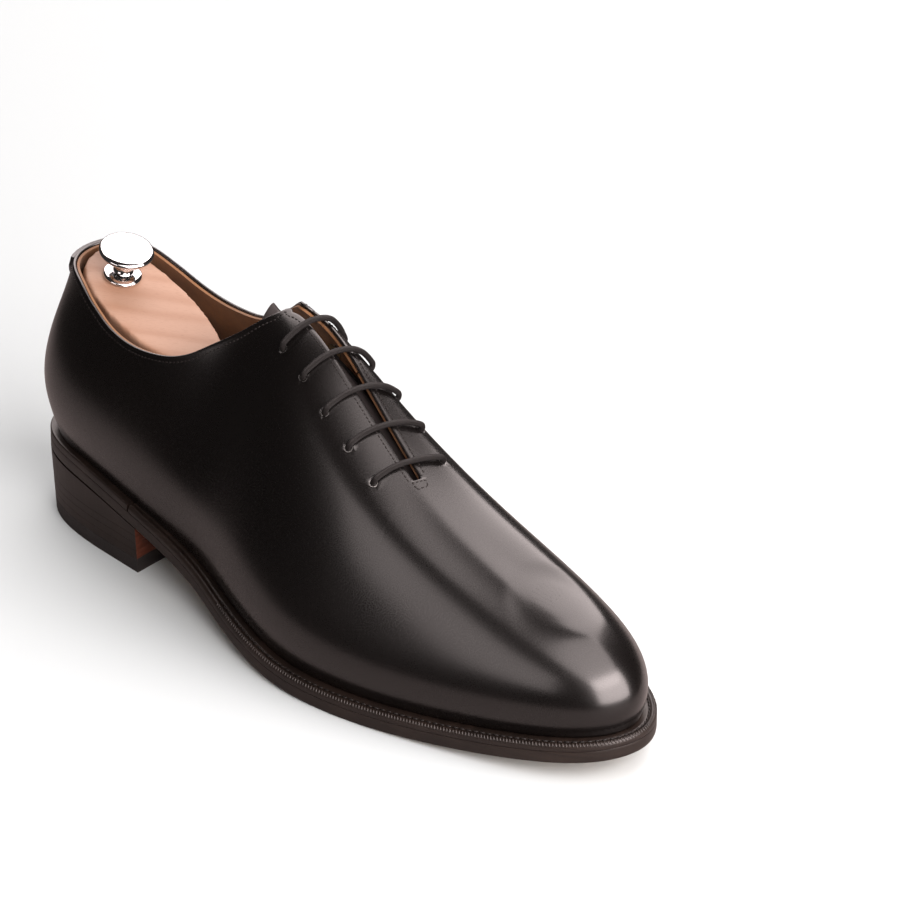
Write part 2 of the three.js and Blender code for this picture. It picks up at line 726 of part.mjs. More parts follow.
function laceCurve() {
  const points = laceRoute().map(([row, across, depth]) => {
    const [t, v] = facing(ROW_FIRST + row * ROW_PITCH, across);
    return surface(t, v).addScaledVector(normal(t, v), -depth);
  });
  return new Route(points, false, 'centripetal');
}

function tube(curve, radius, steps, sides) {
  const corners = spread(0, 2 * Math.PI, sides).slice(0, sides);
  const section = new THREE.Shape(corners.map((a) => new THREE.Vector2(radius * Math.cos(a), radius * Math.sin(a))));
  return new THREE.ExtrudeGeometry(section, { steps, extrudePath: curve, bevelEnabled: false });
}

// ---------------------------------------------------------------- shoe tree

// The last's inside as one solid, the given depth under its surface.
function lastSolid(depth) {
  const loops = HALF.map((t) => {
    const lateral = [0.3, ...CLIMB].map((share) => skin(t, Math.max(share * CREST, 0.4), depth));
    const medial = [0.3, ...CLIMB].map((share) => skin(ROUND - t, Math.max(share * CREST, 0.4), depth));
    return [lateral, medial];
  });
  return slab(loops.map((pair) => pair[0]), loops.map((pair) => pair[1]));
}

function sideProfile(points) {
  const shape = new THREE.Shape(points.map(([x, z]) => new THREE.Vector2(x, z)));
  const deep = 160;
  return new THREE.ExtrudeGeometry(shape, { depth: deep, bevelEnabled: false })
    .rotateX(Math.PI / 2).translate(0, deep / 2, 0);
}

const pivotX = PIVOT.x * kx;
const pivotZ = featherZ(pivotX) + PIVOT.above;

function floorLine(xs, level) {
  return xs.map((x) => [x, soleZ(x) + level]);
}

function treeForepart() {
  const back = pivotX - 7;
  const xs = spread(back, LENGTH - 10, 12);
  const floor = floorLine(xs, insoleHigh + GAP);
  const roof = [[LENGTH - 10, 14], [268 * kx, 25], [245 * kx, 35], [205 * kx, 55.5], [pivotX + 34, 68],
    [pivotX + 10, 60], [back, 40]];
  const top = roof.map(([x, above]) => [x, featherZ(x) + above]);
  const body = lastSolid(TREE_CLEAR_FORE);
  const slot = new THREE.BoxGeometry(30, EYE.width + 3.4, 60).translate(pivotX, PIVOT.y, pivotZ + 14);
  const bore = new THREE.CylinderGeometry(PIVOT.pin + GAP, PIVOT.pin + GAP, 26, 12)
    .translate(pivotX, PIVOT.y, pivotZ);
  return cut(common(body, [sideProfile([...floor, ...top])]), [slot, bore]);
}

function deckZ(x) {
  return featherZ(DECK.x) + DECK.above * kz - DECK.slope * (x - DECK.x);
}

function heelBlock() {
  const plan = new THREE.Shape();
  const back = 6;
  const front = 84 * kx;
  plan.moveTo(back, 0);
  plan.bezierCurveTo(back, -18 * ky, 26 * kx, -20 * ky, 42 * kx, -19 * ky);
  plan.bezierCurveTo(60 * kx, -18 * ky, front, -13 * ky, front, -3 * ky);
  plan.bezierCurveTo(front, 4 * ky, 62 * kx, 12 * ky, 44 * kx, 13 * ky);
  plan.bezierCurveTo(26 * kx, 14 * ky, back, 13 * ky, back, 0);
  const prism = new THREE.ExtrudeGeometry(plan, { depth: 150, bevelEnabled: false, curveSegments: 6 });
  const low = featherZ(40) + 17;
  const side = sideProfile([[0, low + 3], [60 * kx, low - 4], [front + 2, low + 2],
    [front + 2, deckZ(front + 2)], [0, deckZ(0)]]);
  const body = common(prism, [side, lastSolid(TREE_CLEAR_HEEL)]);
  return cut(body, [placedOnAxis(tubeBore())]);
}

const treeTurn = new THREE.Quaternion().setFromAxisAngle(new THREE.Vector3(0, 1, 0), TREE_PITCH);

// The tree's axis runs from the pivot towards the heel: local -X.
function placedOnAxis(geometry) {
  return placed(geometry, new THREE.Vector3(pivotX, PIVOT.y, pivotZ), treeTurn);
}

function axial(geometry, start, length) {
  return geometry.rotateZ(Math.PI / 2).translate(-start - length / 2, 0, 0);
}

function tubeBore() {
  const radius = TUBE.outer + GAP;
  const length = TUBE.length + 1;
  return axial(new THREE.CylinderGeometry(radius, radius, length, 16), TUBE.reach, length);
}

function treeTube() {
  const inner = TUBE.outer - TUBE.wall + 0.2;
  const profile = [[inner, 0], [TUBE.outer, 0], [TUBE.outer, TUBE.length], [inner, TUBE.length], [inner, 0]];
  return lathe(profile, 16).rotateY(-Math.PI / 2).translate(-TUBE.reach, 0, 0);
}

function treeRod() {
  const eye = new THREE.CylinderGeometry(EYE.radius, EYE.radius, EYE.width, 16);
  const length = TUBE.reach + 24;
  const bar = axial(new THREE.CylinderGeometry(ROD, ROD, length, 12), 1, length);
  const bore = new THREE.CylinderGeometry(PIVOT.pin + GAP, PIVOT.pin + GAP, EYE.width + 4, 12);
  const joined = fromManifold(toManifold(eye).add(toManifold(bar)));
  return cut(joined, [bore]);
}

function treeSpring() {
  const { wire, turns, radius } = SPRING;
  const start = EYE.radius + 1.2;
  const end = TUBE.reach - 1.1;
  const points = spread(0, turns, turns * 8).map((turn) => {
    const angle = turn * 2 * Math.PI;
    const x = -THREE.MathUtils.lerp(start, end, turn / turns);
    return new THREE.Vector3(x, radius * Math.cos(angle), radius * Math.sin(angle));
  });
  return tube(new THREE.CatmullRomCurve3(points), wire, turns * 8, 5);
}

const KNOB_TILT = Math.atan(DECK.slope);
const knobTurn = new THREE.Quaternion().setFromAxisAngle(new THREE.Vector3(0, 1, 0), KNOB_TILT);

function knobFlange() {
  const { flange, flangeHeight } = KNOB;
  return lathe([[0, 0], [flange, 0], [flange, 0.8], [flange - 1.6, flangeHeight], [0, flangeHeight]], 20);
}

function knob() {
  const { radius, rim, stem, height } = KNOB;
  const base = KNOB.flangeHeight + GAP;
  const under = height - 2 * rim;
  return lathe([[0, base], [stem + 1, base], [stem, base + 1.5], [stem, under - 2.5], [stem + 2.5, under - 0.6],
    [radius - rim, under], [radius, under + rim], [radius - rim, height], [0, height + 0.5]], 20);
}

// ---------------------------------------------------------------- assembly

const calf = () => new THREE.MeshStandardMaterial({ color: 0x14100f, roughness: 0.32 });
const tan = () => new THREE.MeshStandardMaterial({ color: 0xb07a42, roughness: 0.75 });
const soleLeather = () => new THREE.MeshStandardMaterial({ color: 0xc08a5c, roughness: 0.6 });
const blackEdge = () => new THREE.MeshStandardMaterial({ color: 0x1b1614, roughness: 0.45 });
const rubber = () => new THREE.MeshStandardMaterial({ color: 0x171717, roughness: 0.8 });
const board = () => new THREE.MeshStandardMaterial({ color: 0x8a6b4a, roughness: 0.9 });
const cork = () => new THREE.MeshStandardMaterial({ color: 0x9b7346, roughness: 0.95 });
const beech = () => new THREE.MeshStandardMaterial({ color: 0xe3c49c, roughness: 0.55 });
const chrome = () => new THREE.MeshStandardMaterial({ color: 0xd8d8d8, roughness: 0.12, metalness: 1 });
const steel = () => new THREE.MeshStandardMaterial({ color: 0x9a9a98, roughness: 0.35, metalness: 1 });
const brass = () => new THREE.MeshStandardMaterial({ color: 0xb08d45, roughness: 0.3, metalness: 1 });
const waxed = () => new THREE.MeshStandardMaterial({ color: 0x161616, roughness: 0.6 });

const shoe = new THREE.Group();
shoe.position.set(-BOX_MIDDLE.x * kx, -BOX_MIDDLE.y * ky, 0);

function add(parent, name, geometry, material) {
  const mesh = new THREE.Mesh(geometry, material);
  mesh.name = name;
  parent.add(mesh);
  return mesh;
}

function addBottom() {
  const holes = nailHoles();
  const topPiece = heelLayer(flat(0), flat(TOP_PIECE), 0);
  add(shoe, 'rubber_top_piece', cut(topPiece, [...holes, ...headHoles()]), rubber());
  for (let k = 0; k < LIFT_COUNT; k += 1) {
    const low = TOP_PIECE + GAP + k * (LIFT + GAP);
    const layer = heelLayer(flat(low), flat(low + LIFT), low);
    add(shoe, `heel_lift_${k + 1}`, cut(layer, holes), blackEdge());
  }
  const seat = TOP_PIECE + GAP + LIFT_COUNT * (LIFT + GAP);
  add(shoe, 'heel_seat_lift', cut(heelLayer(flat(seat), onSole(-GAP), HEEL_HEIGHT), holes), blackEdge());
  nailPlaces().forEach(([x, y], k) => {
    add(shoe, `heel_nail_${k + 1}`, nail(), brass()).position.set(x, y, 1.2);
  });
  add(shoe, 'outsole', plate(soleEdge, onSole(0), onSole(OUTSOLE), { steps: 34 }), soleLeather());
  add(shoe, 'heel_rand', band(-BREAST_T, BREAST_T, soleEdge, MARGIN, weltLow, weltHigh), blackEdge());
  const welt = band(BREAST_T + 0.03, ROUND - BREAST_T - 0.03, soleEdge, MARGIN, weltLow, weltHigh);
  add(shoe, 'welt', welt, blackEdge());
  const ribOuter = () => -MARGIN - 0.6;
  const rib = band(4.6, ROUND - 4.6, ribOuter, MARGIN + 0.6 + RIB, weltLow + GAP, insoleLow - GAP);
  add(shoe, 'insole_rib', rib, board());
  const fillEdge = () => -MARGIN - RIB - 1.2;
  const split = SHANK.to * kx + 2;
  const fore = plate(fillEdge, onSole(weltLow + GAP), onSole(insoleLow - GAP), { from: split });
  add(shoe, 'cork_filler', fore, cork());
  const shankLow = insoleLow - GAP - SHANK.thick;
  const rear = plate(fillEdge, onSole(weltLow + GAP), onSole(shankLow - GAP), { to: split - 1, steps: 18 });
  add(shoe, 'seat_filler', rear, cork());
  add(shoe, 'shank', shank(shankLow), steel());
  add(shoe, 'insole', plate(insoleEdge, onSole(insoleLow), onSole(insoleHigh)), soleLeather());
  const sockEdge = (t) => insoleEdge(t) - 0.6;
  const sock = plate(sockEdge, onSole(insoleHigh + GAP), onSole(sockHigh), { to: 96 * kx, steps: 16 });
  add(shoe, 'heel_sock', sock, tan());
}

function shank(low) {
  const half = SHANK.width / 2;
  const rows = (level) => spread(SHANK.from * kx, SHANK.to * kx, 12).map((x) =>
    [-half - 2, half - 2].map((y) => new THREE.Vector3(x, y, soleZ(x) + level)));
  return slab(rows(low + SHANK.thick), rows(low));
}

function addUpper() {
  add(shoe, 'wholecut_upper', upper(), calf());
  add(shoe, 'quarter_lining', quarterLining(), tan());
  add(shoe, 'vamp_lining', vampLining(), tan());
  add(shoe, 'heel_counter', heelCounter(), board());
  add(shoe, 'toe_puff', toePuff(), board());
  add(shoe, 'heel_tab', heelTab(), calf());
  add(shoe, 'tongue', tongue(), calf());
  for (const { name, at, turn } of EYELETS) {
    const ring = add(shoe, name, eyelet(), steel());
    ring.position.copy(at);
    ring.quaternion.copy(turn);
  }
  const route = laceCurve();
  add(shoe, 'lace', tube(route, LACE, route.points.length - 1, 8), waxed());
}

function addTree() {
  add(shoe, 'tree_forepart', treeForepart(), beech());
  const pinLength = EYE.width + 14;
  const pinShape = new THREE.CylinderGeometry(PIVOT.pin, PIVOT.pin, pinLength, 12);
  const pin = add(shoe, 'tree_pivot_pin', pinShape, steel());
  pin.position.set(pivotX, PIVOT.y, pivotZ);
  const arm = new THREE.Group();
  arm.position.set(pivotX, PIVOT.y, pivotZ);
  arm.quaternion.copy(treeTurn);
  shoe.add(arm);
  add(arm, 'tree_rod', treeRod(), steel());
  add(arm, 'tree_spring', treeSpring(), steel());
  add(arm, 'tree_tube', treeTube(), brass());
  add(shoe, 'tree_heel_block', heelBlock(), beech());
  const stand = new THREE.Group();
  const lift = GAP / Math.cos(KNOB_TILT);
  stand.position.set(KNOB.x * kx, -2, deckZ(KNOB.x * kx) + lift);
  stand.quaternion.copy(knobTurn);
  shoe.add(stand);
  add(stand, 'tree_knob_flange', knobFlange(), chrome());
  add(stand, 'tree_knob', knob(), chrome());
}

addBottom();
addUpper();
addTree();

export default new THREE.Group().add(shoe);
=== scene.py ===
"""Leather wholecut oxford with its spring shoe tree: the finished looks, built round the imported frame."""
import json
import math

import bmesh
import bpy
import numpy as np
from bpy.props import FloatProperty, FloatVectorProperty, PointerProperty
from mathutils import Matrix, Vector


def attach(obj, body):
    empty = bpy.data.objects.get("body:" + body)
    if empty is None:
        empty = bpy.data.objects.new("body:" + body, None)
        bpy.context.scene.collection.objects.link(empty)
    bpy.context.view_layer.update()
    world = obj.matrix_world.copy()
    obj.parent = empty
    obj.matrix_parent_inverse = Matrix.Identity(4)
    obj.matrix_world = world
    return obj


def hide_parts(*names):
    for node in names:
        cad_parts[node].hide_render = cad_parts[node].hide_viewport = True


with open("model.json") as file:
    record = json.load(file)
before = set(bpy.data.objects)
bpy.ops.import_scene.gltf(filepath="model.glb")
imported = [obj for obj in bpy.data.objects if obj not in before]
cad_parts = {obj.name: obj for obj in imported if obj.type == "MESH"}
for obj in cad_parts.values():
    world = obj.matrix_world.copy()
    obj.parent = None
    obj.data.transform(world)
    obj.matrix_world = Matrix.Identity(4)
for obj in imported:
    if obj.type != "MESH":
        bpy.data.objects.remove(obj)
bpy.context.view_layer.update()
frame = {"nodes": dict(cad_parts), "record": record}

bl_info = {
    "name": "Oxford Shoe Workshop",
    "version": (1, 0, 0),
    "blender": (4, 5, 0),
    "location": "View3D > Sidebar > Oxford",
    "description": "Makes a welted wholecut oxford with its shoe tree round a packed frame",
    "category": "Add Mesh",
}

# ---------------------------------------------------------------- sizes of the shoe, in millimetres
# Measured from the back of the heel, lateral side at -y. The frame's origin is under the box's middle.
BOX_MIDDLE = np.array([148.86, 0.62, 0.0])
GAP = 0.3
OUTSOLE = 5.0
WELT = 3.0
TOP_PIECE = 6.0
LIFT = 3.2
LIFT_COUNT = 3
HEEL_LENGTH = 68.5
HEEL_HEIGHT = 27.5
HEEL_TAPER = 1.5
TOE_SPRING = 11.5
EDGE_HEEL, EDGE_FORE = 3.0, 5.5
MARGIN = 8.0
BREAST_T = 3.53            # row where heel rand and welt meet
WHEEL_T = 5.7              # the wheel marks start in front of this row
LEATHER, LINING, STIFFENER, TAB, TONGUE = 1.4, 1.0, 1.2, 1.1, 1.4
TONGUE_HALF, TONGUE_TOP = 21.0, 7.5
TAB_HALF, TAB_MIDDLE, TAB_SIDE = 0.74, 0.82, 0.22
CORNER = 7.0
SLIT_TOP, SLIT_TOP_HALF = np.array([119.0, 8.5]), 4.3
SLIT_FOOT, SLIT_FOOT_HALF = np.array([192.0, -2.8]), 1.6
ROWS, ROW_FIRST, ROW_PITCH = 5, 9.2, 14.6
EYELET_OUT = [17.5, 18, 18, 17.3, 16]
EYELET_SEAT, EYELET_PLATE = 1.1, 0.4
LACE = 1.15
FEATHER_LIFT = OUTSOLE + WELT + 2 * GAP
OPEN_ROWS = 5
CREST = 4
WALL_START = 0.26
LINING_SEAM = 6.75

# The last, as rows round the foot from the back of the heel to the toe.
# feather x, lateral y, medial y | crest x, lateral y, medial y, height | bulge lateral, medial, height |
# wall in lateral, medial, height | shoulder in lateral, medial, drop
LAST = [
    [1.5, 0, 0, 8, 0, 0, 86, 8, 8, 21, 0.35, 0.35, 46, 0.7, 0.7, 24],
    [4.5, -20, 20, 13, -12, 12, 85, 8, 8, 21, 0.35, 0.35, 46, 0.7, 0.7, 24],
    [23, -29.5, 29, 31, -21, 16, 82, 6, 6, 21, 0.3, 0.3, 44, 0.65, 0.7, 24],
    [50, -31.5, 29.5, 56, -22, 17, 84, 5, 4.5, 22, 0.25, 0.3, 42, 0.6, 0.68, 22],
    [79, -31.5, 26.5, 84, -19, 16, 96, 5, 4, 20, 0.22, 0.3, 42, 0.6, 0.64, 22],
    [105, -32, 21.5, 107, 10.4, 10.4, 109, 6, 5, 20, 0.15, 0.25, 42, 0.56, 0.56, 16],
    [134, -40.5, 25, 131, 6.7, 6.7, 110, 6, 7, 18, 0.12, 0.22, 42, 0.56, 0.54, 9],
    [162, -46, 35, 156, 2.7, 2.7, 97, 5.5, 7, 16, 0.12, 0.16, 36, 0.56, 0.53, 7],
    [189, -43.5, 45, 180, -1.8, -1.8, 82, 5, 6, 14, 0.12, 0.12, 30, 0.54, 0.54, 5],
    [216, -37, 47, 203, -2, -2, 68.6, 4.5, 5, 12, 0.12, 0.1, 27, 0.54, 0.54, 4],
    [243, -28.5, 43, 223, 2, 2, 58, 4, 4.5, 11, 0.12, 0.1, 25, 0.54, 0.54, 3],
    [270, -19, 34, 238, 5.5, 5.5, 50, 3.5, 4, 10, 0.12, 0.1, 24, 0.54, 0.54, 3],
    [290, -8, 20, 246, 7, 7, 46, 3.5, 3.5, 10, 0.12, 0.1, 23, 0.54, 0.54, 3],
    [297.5, 6, 6, 249, 7, 7, 44, 3.5, 3.5, 10, 0.12, 0.12, 23, 0.54, 0.54, 3],
]
TOE = len(LAST) - 1
ROUND = 2 * TOE
TOP_LINE = [[0, 70], [22, 69.2], [35, 65.5], [47, 63], [60, 64], [76, 69], [86, 74.6],
            [95, 83], [103, 91], [110, 99], [117, 105.7], [125, 112], [140, 122], [170, 140]]
PITCH = [[-20, 1], [0, 1], [35, 0.98], [68, 0.745], [100, 0.48], [130, 0.22], [160, 0.05], [195, 0], [400, 0]]
SPRING_UP = [[-20, 0], [195, 0], [230, 0.14], [265, 0.47], [303, 1], [330, 1.6]]


# ---------------------------------------------------------------- curves and the last's surface

def ease(start, stop, x):
    s = np.clip((x - start) / (stop - start), 0, 1)
    return s * s * (3 - 2 * s)


def through(points, x):
    """A smooth line through the points, one value for each x."""
    xs, ys = np.array(points, float).T
    last = len(xs) - 1
    before = np.maximum(np.arange(last + 1) - 1, 0)
    after = np.minimum(np.arange(last + 1) + 1, last)
    slope = (ys[after] - ys[before]) / (xs[after] - xs[before])
    i = np.clip(np.searchsorted(xs, x, side="left") - 1, 0, last - 1)
    h = xs[i + 1] - xs[i]
    s = np.clip((x - xs[i]) / h, 0, 1)
    bend = (1 - s) ** 2 * s * slope[i] - s ** 2 * (1 - s) * slope[i + 1]
    return ys[i] + (ys[i + 1] - ys[i]) * s * s * (3 - 2 * s) + h * bend


def sole_z(x):
    return HEEL_HEIGHT * through(PITCH, x) + TOE_SPRING * through(SPRING_UP, x)


def feather_z(x):
    return sole_z(x) + FEATHER_LIFT


def row_feather(i):
    row = LAST[i if i <= TOE else ROUND - i]
    return np.array([row[0], row[1 if i <= TOE else 2], feather_z(row[0])])


def build_net():
    """Control points of the last: seven for each row, from under the feather to over the crest."""
    net = np.zeros((ROUND, 7, 3))
    for i in range(ROUND):
        side = 0 if i <= TOE else 1
        row = LAST[i if i <= TOE else ROUND - i]
        foot = row_feather(i)
        crest = np.array([row[3], row[4 + side], feather_z(row[3]) + row[6]])
        ahead = row_feather((i + 1) % ROUND) - row_feather((i - 1) % ROUND)
        out = np.array([ahead[1], -ahead[0], 0.0])
        bulge = foot + out / np.linalg.norm(out) * row[7 + side]
        bulge[2] = foot[2] + row[9]
        wall = bulge + (crest - bulge) * row[10 + side]
        wall[2] = foot[2] + row[12]
        shoulder = bulge + (crest - bulge) * row[13 + side]
        shoulder[2] = crest[2] - row[15]
        net[i, :6] = [2 * foot - bulge, foot, bulge, wall, shoulder, crest]
    for i in range(ROUND):
        is_open = min(i, ROUND - i) < OPEN_ROWS
        net[i, 6] = 2 * net[i, 5] - net[i, 4] if is_open else net[(ROUND - i) % ROUND, 4]
    return net


NET = build_net()


def weights(f):
    g = 1 - f
    return [g ** 3 / 6, (3 * f ** 3 - 6 * f ** 2 + 4) / 6, (3 * g ** 3 - 6 * g ** 2 + 4) / 6, f ** 3 / 6]


def surface(t, v):
    """Points of the last: t counts rows round the foot, v climbs from feather line to crest and over it."""
    t, v = np.broadcast_arrays(np.asarray(t, float), np.asarray(v, float))
    over = v > CREST
    t = np.where(over, ROUND - t, t) % ROUND
    v = np.where(over, 2 * CREST - v, v)
    i = np.floor(t).astype(int)
    j = np.clip(np.floor(v).astype(int), 0, CREST - 1)
    a, b = weights(t - i), weights(v - j)
    point = np.zeros(t.shape + (3,))
    for m in range(4):
        for n in range(4):
            point += NET[(i - 1 + m) % ROUND, j + n] * (a[m] * b[n])[..., None]
    return point


def normal(t, v):
    step = 0.01
    t, v = np.broadcast_arrays(np.asarray(t, float), np.asarray(v, float))
    along = surface(t + step, v) - surface(t - step, v)
    up = surface(t, v + step) - surface(t, np.maximum(v - step, 0))
    n = np.cross(along, up)
    return n / np.linalg.norm(n, axis=-1, keepdims=True)


def skin(t, v, depth):
    """Points lying this deep inside the last's surface. Both halves agree where they meet over the vamp."""
    t, v = np.broadcast_arrays(np.asarray(t, float), np.asarray(v, float))
    mirrored = (v == CREST) & (t > TOE) & (ROUND - t > OPEN_ROWS + 1)
    t = np.where(mirrored, ROUND - t, t)
    return surface(t, v) - normal(t, v) * np.broadcast_to(depth, t.shape)[..., None]


def partials(t, v):
    step = 0.01
    p = surface(t, v)
    return p, (surface(t + step, v) - p) / step, (surface(t, v + step) - p) / step


def locate(x, y):
    """Place on the last over points in plan, near the lacing."""
    t = 5 + (x - 107) / 24.5
    v = np.where(y > 4, 4.3, 3.7)
    for _ in range(25):
        p, a, b = partials(t, v)
        det = a[..., 0] * b[..., 1] - a[..., 1] * b[..., 0]
        dx, dy = x - p[..., 0], y - p[..., 1]
        t = t + np.clip((dx * b[..., 1] - dy * b[..., 0]) / det, -0.5, 0.5)
        v = np.clip(v + np.clip((dy * a[..., 0] - dx * a[..., 1]) / det, -0.2, 0.2), 1.5, 2 * CREST - 1.5)
    return t, v


# ---------------------------------------------------------------- trimming of the upper

SLIT_RUN = SLIT_FOOT - SLIT_TOP
SLIT_LENGTH = float(np.linalg.norm(SLIT_RUN))
SLIT_RUN = SLIT_RUN / SLIT_LENGTH


def slit_place(p):
    """Distance along the slit from its top, and across it, towards medial."""
    dx, dy = p[..., 0] - SLIT_TOP[0], p[..., 1] - SLIT_TOP[1]
    return dx * SLIT_RUN[0] + dy * SLIT_RUN[1], dy * SLIT_RUN[0] - dx * SLIT_RUN[1]


def cut_away(p):
    """Positive where the upper is cut away, by the top line or by the slit."""
    along, across = slit_place(p)
    half = SLIT_TOP_HALF + (SLIT_FOOT_HALF - SLIT_TOP_HALF) * np.clip(along / SLIT_LENGTH, 0, 1)
    slit = np.where(along < SLIT_LENGTH, half - np.abs(across) + np.minimum(1.5 * along, 0), -10)
    above = p[..., 2] - feather_z(p[..., 0]) - through(TOP_LINE, p[..., 0])
    mix = np.maximum(CORNER - np.abs(slit - above), 0)
    return np.maximum(slit, above) + mix ** 2 / (4 * CORNER)


def top_of(t):
    """How far up each rib the leather reaches."""
    t = np.atleast_1d(np.asarray(t, float))
    scan = np.arange(1.5, CREST + 0.001, 0.05)
    past = cut_away(surface(t[:, None], scan[None, :])) >= 0
    first = np.where(past.any(1), past.argmax(1), len(scan) - 1)
    low, high = scan[np.maximum(first - 1, 0)], scan[first]
    for _ in range(24):
        middle = (low + high) / 2
        inside = cut_away(surface(t, middle)) < 0
        low, high = np.where(inside, middle, low), np.where(inside, high, middle)
    return np.where(past.any(1), low, CREST)


def facing(along, across):
    """Places on the leather so far down the slit, and so far across it measured over the leather."""
    along, across = np.broadcast_arrays(np.asarray(along, float), np.asarray(across, float))
    t, v = locate(SLIT_TOP[0] + along * SLIT_RUN[0], SLIT_TOP[1] + along * SLIT_RUN[1])
    run = np.array([*SLIT_RUN, 0.0])
    strides = 12
    for _ in range(strides):
        p, a, b = partials(t, v)
        dt, dv = b @ run, -(a @ run)
        stride = a * dt[..., None] + b * dv[..., None]
        outwards = np.sign(slit_place(p + stride)[1] - slit_place(p)[1])
        share = across / strides / np.linalg.norm(stride, axis=-1) * outwards
        t, v = t + dt * share, v + dv * share
    return t, v


SLIT_FOOT_T = float(locate(*SLIT_FOOT)[0])


# ---------------------------------------------------------------- mesh helpers

def metres(points):
    return (np.asarray(points, float) - BOX_MIDDLE) / 1000


def finish_mesh(name, bm, material, smooth_angle=50, body="shoe", weld=1e-6):
    """Makes an object of the bmesh, smooth but for its sharp edges, riding on a body."""
    bmesh.ops.remove_doubles(bm, verts=bm.verts, dist=weld)
    bmesh.ops.dissolve_degenerate(bm, edges=bm.edges, dist=weld)
    bmesh.ops.recalc_face_normals(bm, faces=bm.faces)
    if bm.calc_volume(signed=True) < 0:
        bmesh.ops.reverse_faces(bm, faces=bm.faces)
    for face in bm.faces:
        face.smooth = True
    mesh = bpy.data.meshes.new(name)
    bm.to_mesh(mesh)
    bm.free()
    if smooth_angle:
        mesh.set_sharp_from_angle(angle=math.radians(smooth_angle))
    return add_piece(name, mesh, material, body)


def add_piece(name, mesh, material, body="shoe"):
    piece = bpy.data.objects.new(name, mesh)
    bpy.context.scene.collection.objects.link(piece)
    if material is not None:
        mesh.materials.clear()
        mesh.materials.append(material)
    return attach(piece, body)


def stands_for(piece, slot, *nodes):
    if nodes:
        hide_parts(*nodes)
    return piece


def rounded(piece, width, angle=40, segments=3):
    """A small round on every hard edge."""
    bevel = piece.modifiers.new("round", "BEVEL")
    bevel.width = width
    bevel.segments = segments
    bevel.limit_method = "ANGLE"
    bevel.angle_limit = math.radians(angle)
    bevel.harden_normals = False
    return piece


def quads(bm, grid, ring=False, flip=False):
    """Faces over a grid of vertices, rows by columns."""
    rows, cols = len(grid), len(grid[0])
    for k in range(rows if ring else rows - 1):
        n = (k + 1) % rows
        for j in range(cols - 1):
            corners = [grid[k][j], grid[n][j], grid[n][j + 1], grid[k][j + 1]]
            bm.faces.new(corners[::-1] if flip else corners)


def vertex_grid(bm, points):
    return [[bm.verts.new(p) for p in row] for row in metres(points)]


def shell(outer, inner, ring=False, lips=None):
    """A closed layer between two grids of ribs. A lip is left out where two ribs meet over the vamp."""
    bm = bmesh.new()
    top, bottom = vertex_grid(bm, outer), vertex_grid(bm, inner)
    quads(bm, top, ring)
    quads(bm, bottom, ring, flip=True)
    rows = len(top)
    for k in range(rows if ring else rows - 1):
        n = (k + 1) % rows
        bm.faces.new([top[n][0], top[k][0], bottom[k][0], bottom[n][0]])
        if lips is None or lips[k] or lips[n]:
            bm.faces.new([top[k][-1], top[n][-1], bottom[n][-1], bottom[k][-1]])
    if not ring:
        bm.faces.new(top[0] + bottom[0][::-1])
        bm.faces.new(top[-1][::-1] + bottom[-1])
    return bm


def turned(profile, sides=64):
    """A closed lathe shape about z from (radius, height) pairs that start and end on the axis or meet."""
    bm = bmesh.new()
    angles = np.linspace(0, 2 * math.pi, sides, endpoint=False)
    points = [[(r * math.cos(a), r * math.sin(a), z) for r, z in profile] for a in angles]
    grid = [[bm.verts.new(p) for p in row] for row in points]
    quads(bm, grid, ring=True)
    bmesh.ops.remove_doubles(bm, verts=bm.verts, dist=1e-4)
    return bm


def place(bm, at, turn=None):
    """Moves a shape that is drawn in millimetres to its place on the shoe, and turns it into metres."""
    matrix = Matrix.Translation(Vector(at)) @ (turn or Matrix.Identity(4))
    bm.transform(Matrix.Scale(0.001, 4) @ Matrix.Translation(Vector(-BOX_MIDDLE)) @ matrix)
    return bm


def smooth_line(points, step):
    """A finely stepped smooth line through the points, at an even step."""
    p = np.asarray(points, float)
    ends = np.vstack([2 * p[0] - p[1], p, 2 * p[-1] - p[-2]])
    gaps = np.sqrt(np.linalg.norm(np.diff(ends, axis=0), axis=1))
    knots = np.concatenate([[0], np.cumsum(gaps)])
    fine = []
    for k in range(1, len(ends) - 2):
        t0, t1, t2, t3 = knots[k - 1:k + 3]
        for u in np.linspace(t1, t2, 12, endpoint=False):
            level = list(ends[k - 1:k + 3])
            for low, high in (((t0, t1, t2), (t1, t2, t3)), ((t0, t1), (t2, t3)), ((t1,), (t2,))):
                level = [(h - u) / (h - g) * a + (u - g) / (h - g) * b
                         for g, h, a, b in zip(low, high, level, level[1:])]
            fine.append(level[0])
    fine = np.array(fine + [p[-1]])
    run = np.concatenate([[0], np.cumsum(np.linalg.norm(np.diff(fine, axis=0), axis=1))])
    stations = np.linspace(0, run[-1], max(int(run[-1] / step), 2))
    return np.stack([np.interp(stations, run, fine[:, c]) for c in range(3)], 1)


